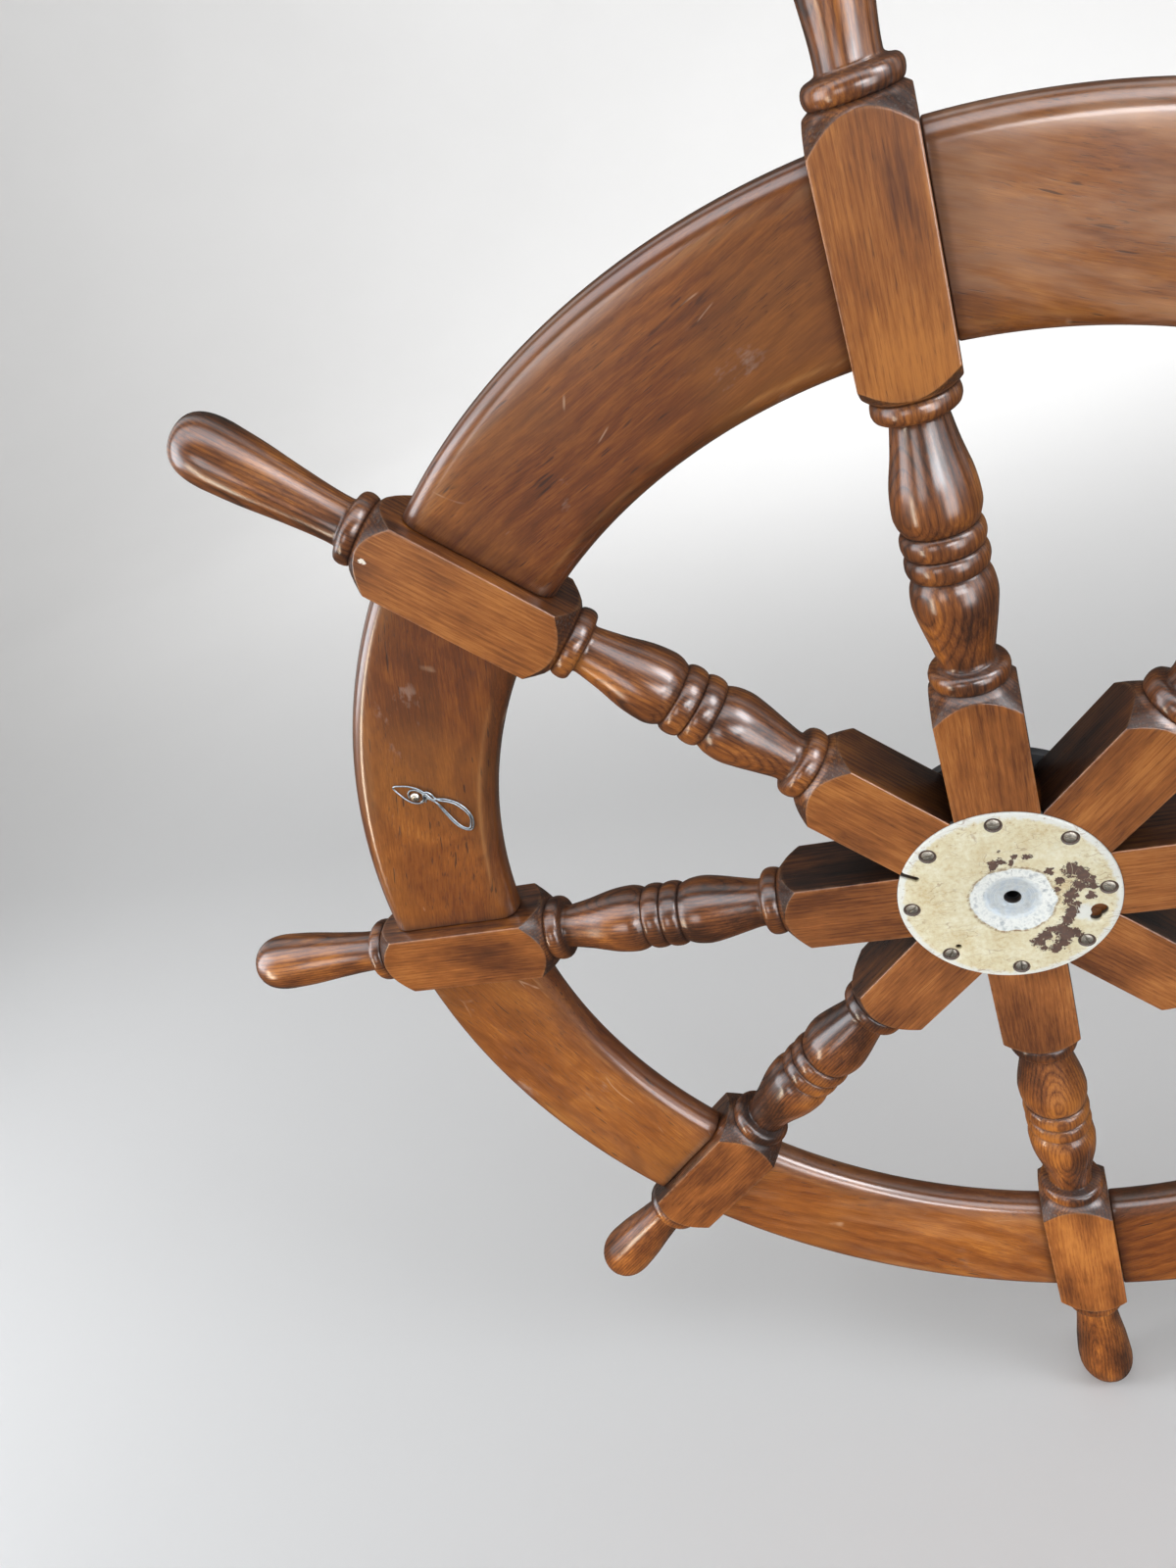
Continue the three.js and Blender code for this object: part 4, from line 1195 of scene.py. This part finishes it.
def build_bearing():
    """The fixed side: the wall bearing, its bush and the thrust washer."""
    rear, front = 95.0, 83.0
    steps = [
        (front, 1.6), (front + 0.25, 0.75), (front + 0.8, 0.2), (front + 1.6, 0),
        (rear - 0.5, 0), (rear, 0.5),
    ]
    rows = []
    for y, inset in steps:
        outline = oval(31 - inset, 14 - inset, 48)
        rows.append(np.stack([outline[:, 0], np.full(len(outline), y), outline[:, 1]], axis=1))
    body = new_object("wall_bearing_cast", *ring_grid(rows))
    inside = rear - 3
    boss = [(AXIS, 62.6), (28.8, 62.6), (29.7, 63.0), (30, 64), (30, inside), (AXIS, inside)]
    carve(body, lathe(boss, 144), operation="UNION")
    bore = lathe([(AXIS, 60), (16.3, 60), (16.3, 85), (24, 85), (24, 99), (AXIS, 99)], 96)
    bolt = lathe([(AXIS, 79), (8, 79), (8, 83.4), (4.5, 83.4), (4.5, 98), (AXIS, 98)], 40)
    carve(body, bore, moved(bolt, (48, 0, 0)), moved(bolt, (-48, 0, 0)), bevel=0.4)
    place(body)
    finish_piece(body, "bearing", "black_paint", BLACK, "wall_bearing")
    for name, node, inner, outer, low, high in (
        ("bearing_bush_turned", "bearing_bush", 12.95, 16, 62.6, 84),
        ("thrust_washer_turned", "thrust_washer", 13.2, 26, 60, 62.3),
    ):
        ease = 0.4
        ring = [
            (inner + ease, low), (outer - ease, low), (outer, low + ease), (outer, high - ease),
            (outer - ease, high), (inner + ease, high), (inner, high - ease), (inner, low + ease),
        ]
        obj = new_object(name, *lathe(ring, 96, closed=True), sharp=30)
        place(obj)
        finish_piece(obj, "bearing", "bronze", BRONZE, node)


# ------------------------------------------------------------------ wire on the rim
WIRE_AT = np.array([-384.4, 0.0, 149.5])
FACE = -RIM_HALF
# Rows are x and z from the wire's screw and the height above the felloe's face, in mm.
STRAND_ONE = [
    (-5.6, -0.9, 0.9), (-5.2, 2.6, 0.9), (-2.4, 5.0, 1.0), (1.8, 5.0, 1.2),
    (5.0, 2.8, 1.6), (8.4, -1.2, 2.2), (12.0, -4.4, 2.6), (16.4, -5.4, 1.6),
    (22.4, -7.4, 1.2), (28.6, -11.6, 1.3), (33.0, -17.4, 1.6), (35.0, -24.6, 1.8),
    (33.4, -31.4, 1.6), (29.4, -36.0, 1.1), (24.0, -34.6, 0.9), (19.6, -29.4, 0.8),
    (16.6, -21.8, 0.8), (14.4, -13.6, 1.0), (12.8, -7.0, 1.6), (11.4, -2.6, 2.8),
    (8.0, 2.4, 2.4), (4.0, 6.0, 1.8), (-1.2, 8.8, 1.6), (-6.4, 10.4, 1.8),
    (-12.8, 11.0, 1.4), (-13.9, 8.4, 1.2), (-11.2, 2.4, 1.0), (-8.4, -2.2, 0.9),
    (-4.6, -5.4, 0.9), (-0.4, -6.6, 0.9), (3.6, -5.6, 0.9), (6.0, -2.4, 1.0),
    (6.4, 0.6, 1.2),
]
STRAND_TWO = [
    (2.6, -5.0, 2.0), (5.6, -3.2, 2.4), (7.0, 0.6, 2.8), (9.6, 2.4, 2.2),
    (12.4, -0.6, 1.6), (13.6, -4.2, 1.4), (17.6, -6.8, 2.3), (23.4, -9.4, 1.8),
    (28.0, -13.8, 1.4), (31.4, -19.6, 1.0), (32.8, -25.4, 0.9), (31.2, -30.8, 0.9),
    (29.0, -34.0, 1.9), (25.0, -32.6, 1.8), (21.6, -28.2, 1.6), (18.6, -21.4, 1.4),
    (16.0, -13.8, 1.6), (14.4, -8.2, 2.6), (10.4, -4.8, 1.8), (7.4, -3.8, 1.2),
    (5.2, -6.4, 1.0),
]


def build_wire():
    for name, route in (("wire_loop_strand_1", STRAND_ONE), ("wire_loop_strand_2", STRAND_TWO)):
        path = np.array([(x, FACE - up, z) for x, z, up in route]) + WIRE_AT
        path = np.concatenate([path[:1], smooth_through(path, 6)])
        obj = new_object(name, *tube(path, 0.62))
        place(obj)
        finish_piece(obj, "wheel", "wire_steel", WIRE_STEEL, "wire_loop")
    top = FACE - 4.7
    profile = [
        (AXIS, top), (1.3, top + 0.12), (2.4, top + 0.5), (3.2, top + 1.15), (3.6, top + 2.0),
        (3.55, top + 2.3), (1.8, top + 2.5), (1.8, FACE + 14), (AXIS, FACE + 17),
    ]
    screw = new_object("wire_screw_head", *moved(lathe(profile, 40), WIRE_AT))
    slot = block((9, 1.5, 1.0), WIRE_AT + np.array([0, top, 0]), 0.6)
    carve(screw, slot, bevel=0.1)
    place(screw)
    finish_piece(screw, "wheel", "screw_steel", STUD_STEEL, "wire_screw")


# ------------------------------------------------------------------ the small carried-over nodes
def dress_cad_nodes():
    finishes = {"tenon_wood": TENON_WOOD, "dark_steel": DARK_STEEL}
    kept = {f"felloe_tenon_{i + 1}": "tenon_wood" for i in range(SPOKES)}
    for name in ("hub_barrel", "hub_set_screw_1", "hub_set_screw_2", "shaft_key", "retaining_ring"):
        kept[name] = "dark_steel"
    for name, slot in kept.items():
        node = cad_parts[name]
        node.data.materials.clear()
        node.data.materials.append(finishes[slot])
        if name != "hub_barrel" and slot == "dark_steel":
            ease = node.modifiers.new("ease", "BEVEL")
            ease.width, ease.segments, ease.limit_method = 0.2 * MM, 2, "ANGLE"


build_spokes()
build_felloes()
build_front_plate()
build_screws()
build_rear_flange()
build_shaft()
build_bearing()
build_wire()
dress_cad_nodes()


# ------------------------------------------------------------------ floor, light and camera
def build_stage():
    """A pale floor that curves up into a round wall, so that no view meets a horizon."""
    low = CAD_BOX[0].z - 0.002
    flat, curve, top, sides = 4.5, 3.0, 7.6, 96
    bend = np.linspace(0, math.pi / 2, 24)[1:]
    profile = [(0.001, 0.0), (2.0, 0.0), (flat, 0.0)]
    profile += [(flat + curve * math.sin(a), curve * (1 - math.cos(a))) for a in bend]
    profile.append((flat + curve, top))
    turn = np.linspace(0, 2 * math.pi, sides + 1)[:-1]
    points = [(r * math.cos(a), r * math.sin(a), low + z) for r, z in profile for a in turn]
    faces = []
    for i in range(len(profile) - 1):
        here, ahead = i * sides, (i + 1) * sides
        for k in range(sides):
            m = (k + 1) % sides
            faces.append((here + k, here + m, ahead + m, ahead + k))
    mesh = bpy.data.meshes.new("floor")
    mesh.from_pydata(points, [], faces)
    mesh.shade_smooth()
    floor = linked("floor", mesh)
    s = Shader("floor_pale")
    tone = s.noise(s.object_point(), 0.8, 3)
    colour = s.ramp(tone, (0.3, (0.76, 0.76, 0.76)), (0.7, (0.79, 0.79, 0.79)))
    mesh.materials.append(s.finish(base_color=colour, roughness=0.9, specular_ior_level=0.1))
    floor.visible_glossy = False


def build_reflections():
    """A dome that only shows in reflections: dim straight ahead and below, with a band of
    light round the sides and top, so that varnish and metal don't mirror the pale floor."""
    mesh = bpy.data.meshes.new("reflection_dome")
    work = bmesh.new()
    bmesh.ops.create_icosphere(work, subdivisions=4, radius=6.0)
    work.to_mesh(mesh)
    work.free()
    dome = linked("reflection_dome", mesh)
    s = Shader("reflection_dome")
    way = s.node("ShaderNodeVectorMath", {0: s.object_point()}, operation="NORMALIZE").outputs[0]
    _, y, z = s.parts(way)
    front = s.times(s.band(y, 0.08, -0.12), s.band(y, -0.75, -0.5))
    back = s.times(s.band(y, 0.2, 0.35), s.band(y, 0.65, 0.5))
    sky = s.plus(front, s.times(back, 0.35))
    sky = s.times(sky, s.band(z, -0.3, 0.1))
    light = s.plus(s.times(sky, s.band(z, 0.35, 0.75, 2.8, 5.0)), 0.08)
    colour = s.ramp(sky, (0.0, (1.0, 0.96, 0.9)), (0.5, (0.86, 0.92, 1.0)))
    glow = s.node("ShaderNodeEmission", {"Color": colour, "Strength": light})
    output = s.tree.nodes["Material Output"]
    s.tree.links.new(glow.outputs[0], output.inputs["Surface"])
    mesh.materials.append(s.material)
    for kind in ("camera", "diffuse", "transmission", "volume_scatter", "shadow"):
        setattr(dome, f"visible_{kind}", False)


def area_light(name, at, aim, size, power, colour, diffuse=True, glossy=True):
    """A lamp that can be kept out of the diffuse light or the reflections."""
    data = bpy.data.lights.new(name, "AREA")
    data.shape, data.size, data.size_y = "RECTANGLE", size[0], size[1]
    data.energy, data.color = power, colour
    lamp = linked(name, data)
    lamp.visible_camera, lamp.visible_diffuse, lamp.visible_glossy = False, diffuse, glossy
    lamp.location = at
    lamp.rotation_euler = (Vector(aim) - Vector(at)).to_track_quat("-Z", "Y").to_euler()
    return lamp


def build_light():
    """Warm fills without gloss, cool sheens with gloss alone, and a bright backdrop. Lamps
    near the floor don't light it, or they would leave a hot patch there."""
    world = bpy.data.worlds.new("soft_studio")
    bpy.context.scene.world = world
    world.use_nodes = True
    background = world.node_tree.nodes["Background"]
    background.inputs["Color"].default_value = (1.0, 0.98, 0.95, 1)
    background.inputs["Strength"].default_value = 0.405
    middle = (0, MID, 0)
    under, lower = (-0.15, MID, -0.4), (-0.1, MID, -0.35)
    warm, cool = (1.0, 0.955, 0.88), (0.93, 0.96, 1.0)
    neutral, white = (0.98, 0.98, 1.0), (1.0, 1.0, 1.0)
    area_light("sky_far", (0.2, -1.3, 2.4), middle, (2.6, 0.9), 9, cool)
    area_light("sky_left", (-2.3, -0.7, 0.7), middle, (1.2, 1.6), 30, cool)
    area_light("sky_right", (1.9, -0.6, 1.5), middle, (0.8, 1.6), 18, cool)
    low_lamps = (
        area_light("warm_left", (-1.9, -1.3, -0.35), middle, (0.22, 0.9), 14, (1.0, 0.86, 0.66)),
        area_light("fill_right", (1.4, -2.7, -0.1), middle, (0.9, 1.3), 13, warm, glossy=False),
        area_light("fill_left", (-1.4, -2.7, 0.1), middle, (0.9, 1.3), 10, warm, glossy=False),
        area_light("fill_low", (-0.15, -0.6, -0.48), under, (0.9, 0.2), 2.2, warm, glossy=False),
        area_light("sheen_right", (1.8, -2.4, 0.0), middle, (1.5, 1.6), 66, cool, diffuse=False),
    )
    spared = bpy.data.collections.new("lit_from_above_only")
    spared.objects.link(bpy.data.objects["floor"])
    for lamp in low_lamps:
        lamp.light_linking.receiver_collection = spared
    spared.collection_objects[0].light_linking.link_state = "EXCLUDE"
    area_light("sheen_low", (0.5, -1.4, 0.5), lower, (0.7, 0.4), 15, cool, diffuse=False)
    area_light("sheen_above", (2.1, -1.0, 1.8), middle, (0.9, 1.4), 56, cool, diffuse=False)
    area_light("sheen_left", (-1.3, -2.7, 0.5), middle, (0.9, 1.0), 18, neutral, diffuse=False)
    area_light("backdrop", (0, 2.4, 2.4), (0, 7.0, 0.2), (3.5, 1.0), 170, white)
    bpy.context.scene.view_settings.view_transform = "Standard"
    bpy.context.scene.view_settings.look = "None"


def build_camera():
    data = bpy.data.cameras.new("camera")
    data.sensor_width = 36.0
    data.lens = 27.25
    camera = linked("camera", data)
    right = Vector((0.92138, 0.20363, -0.33105))
    down = Vector((-0.15721, -0.58372, -0.79659))
    ahead = Vector((-0.35545, 0.78601, -0.50582))
    turn = Matrix((right, -down, -ahead)).transposed().to_4x4()
    camera.matrix_world = Matrix.Translation((0.03173, -0.74654, 0.54465)) @ turn
    bpy.context.scene.camera = camera


build_stage()
build_reflections()
build_light()
build_camera()
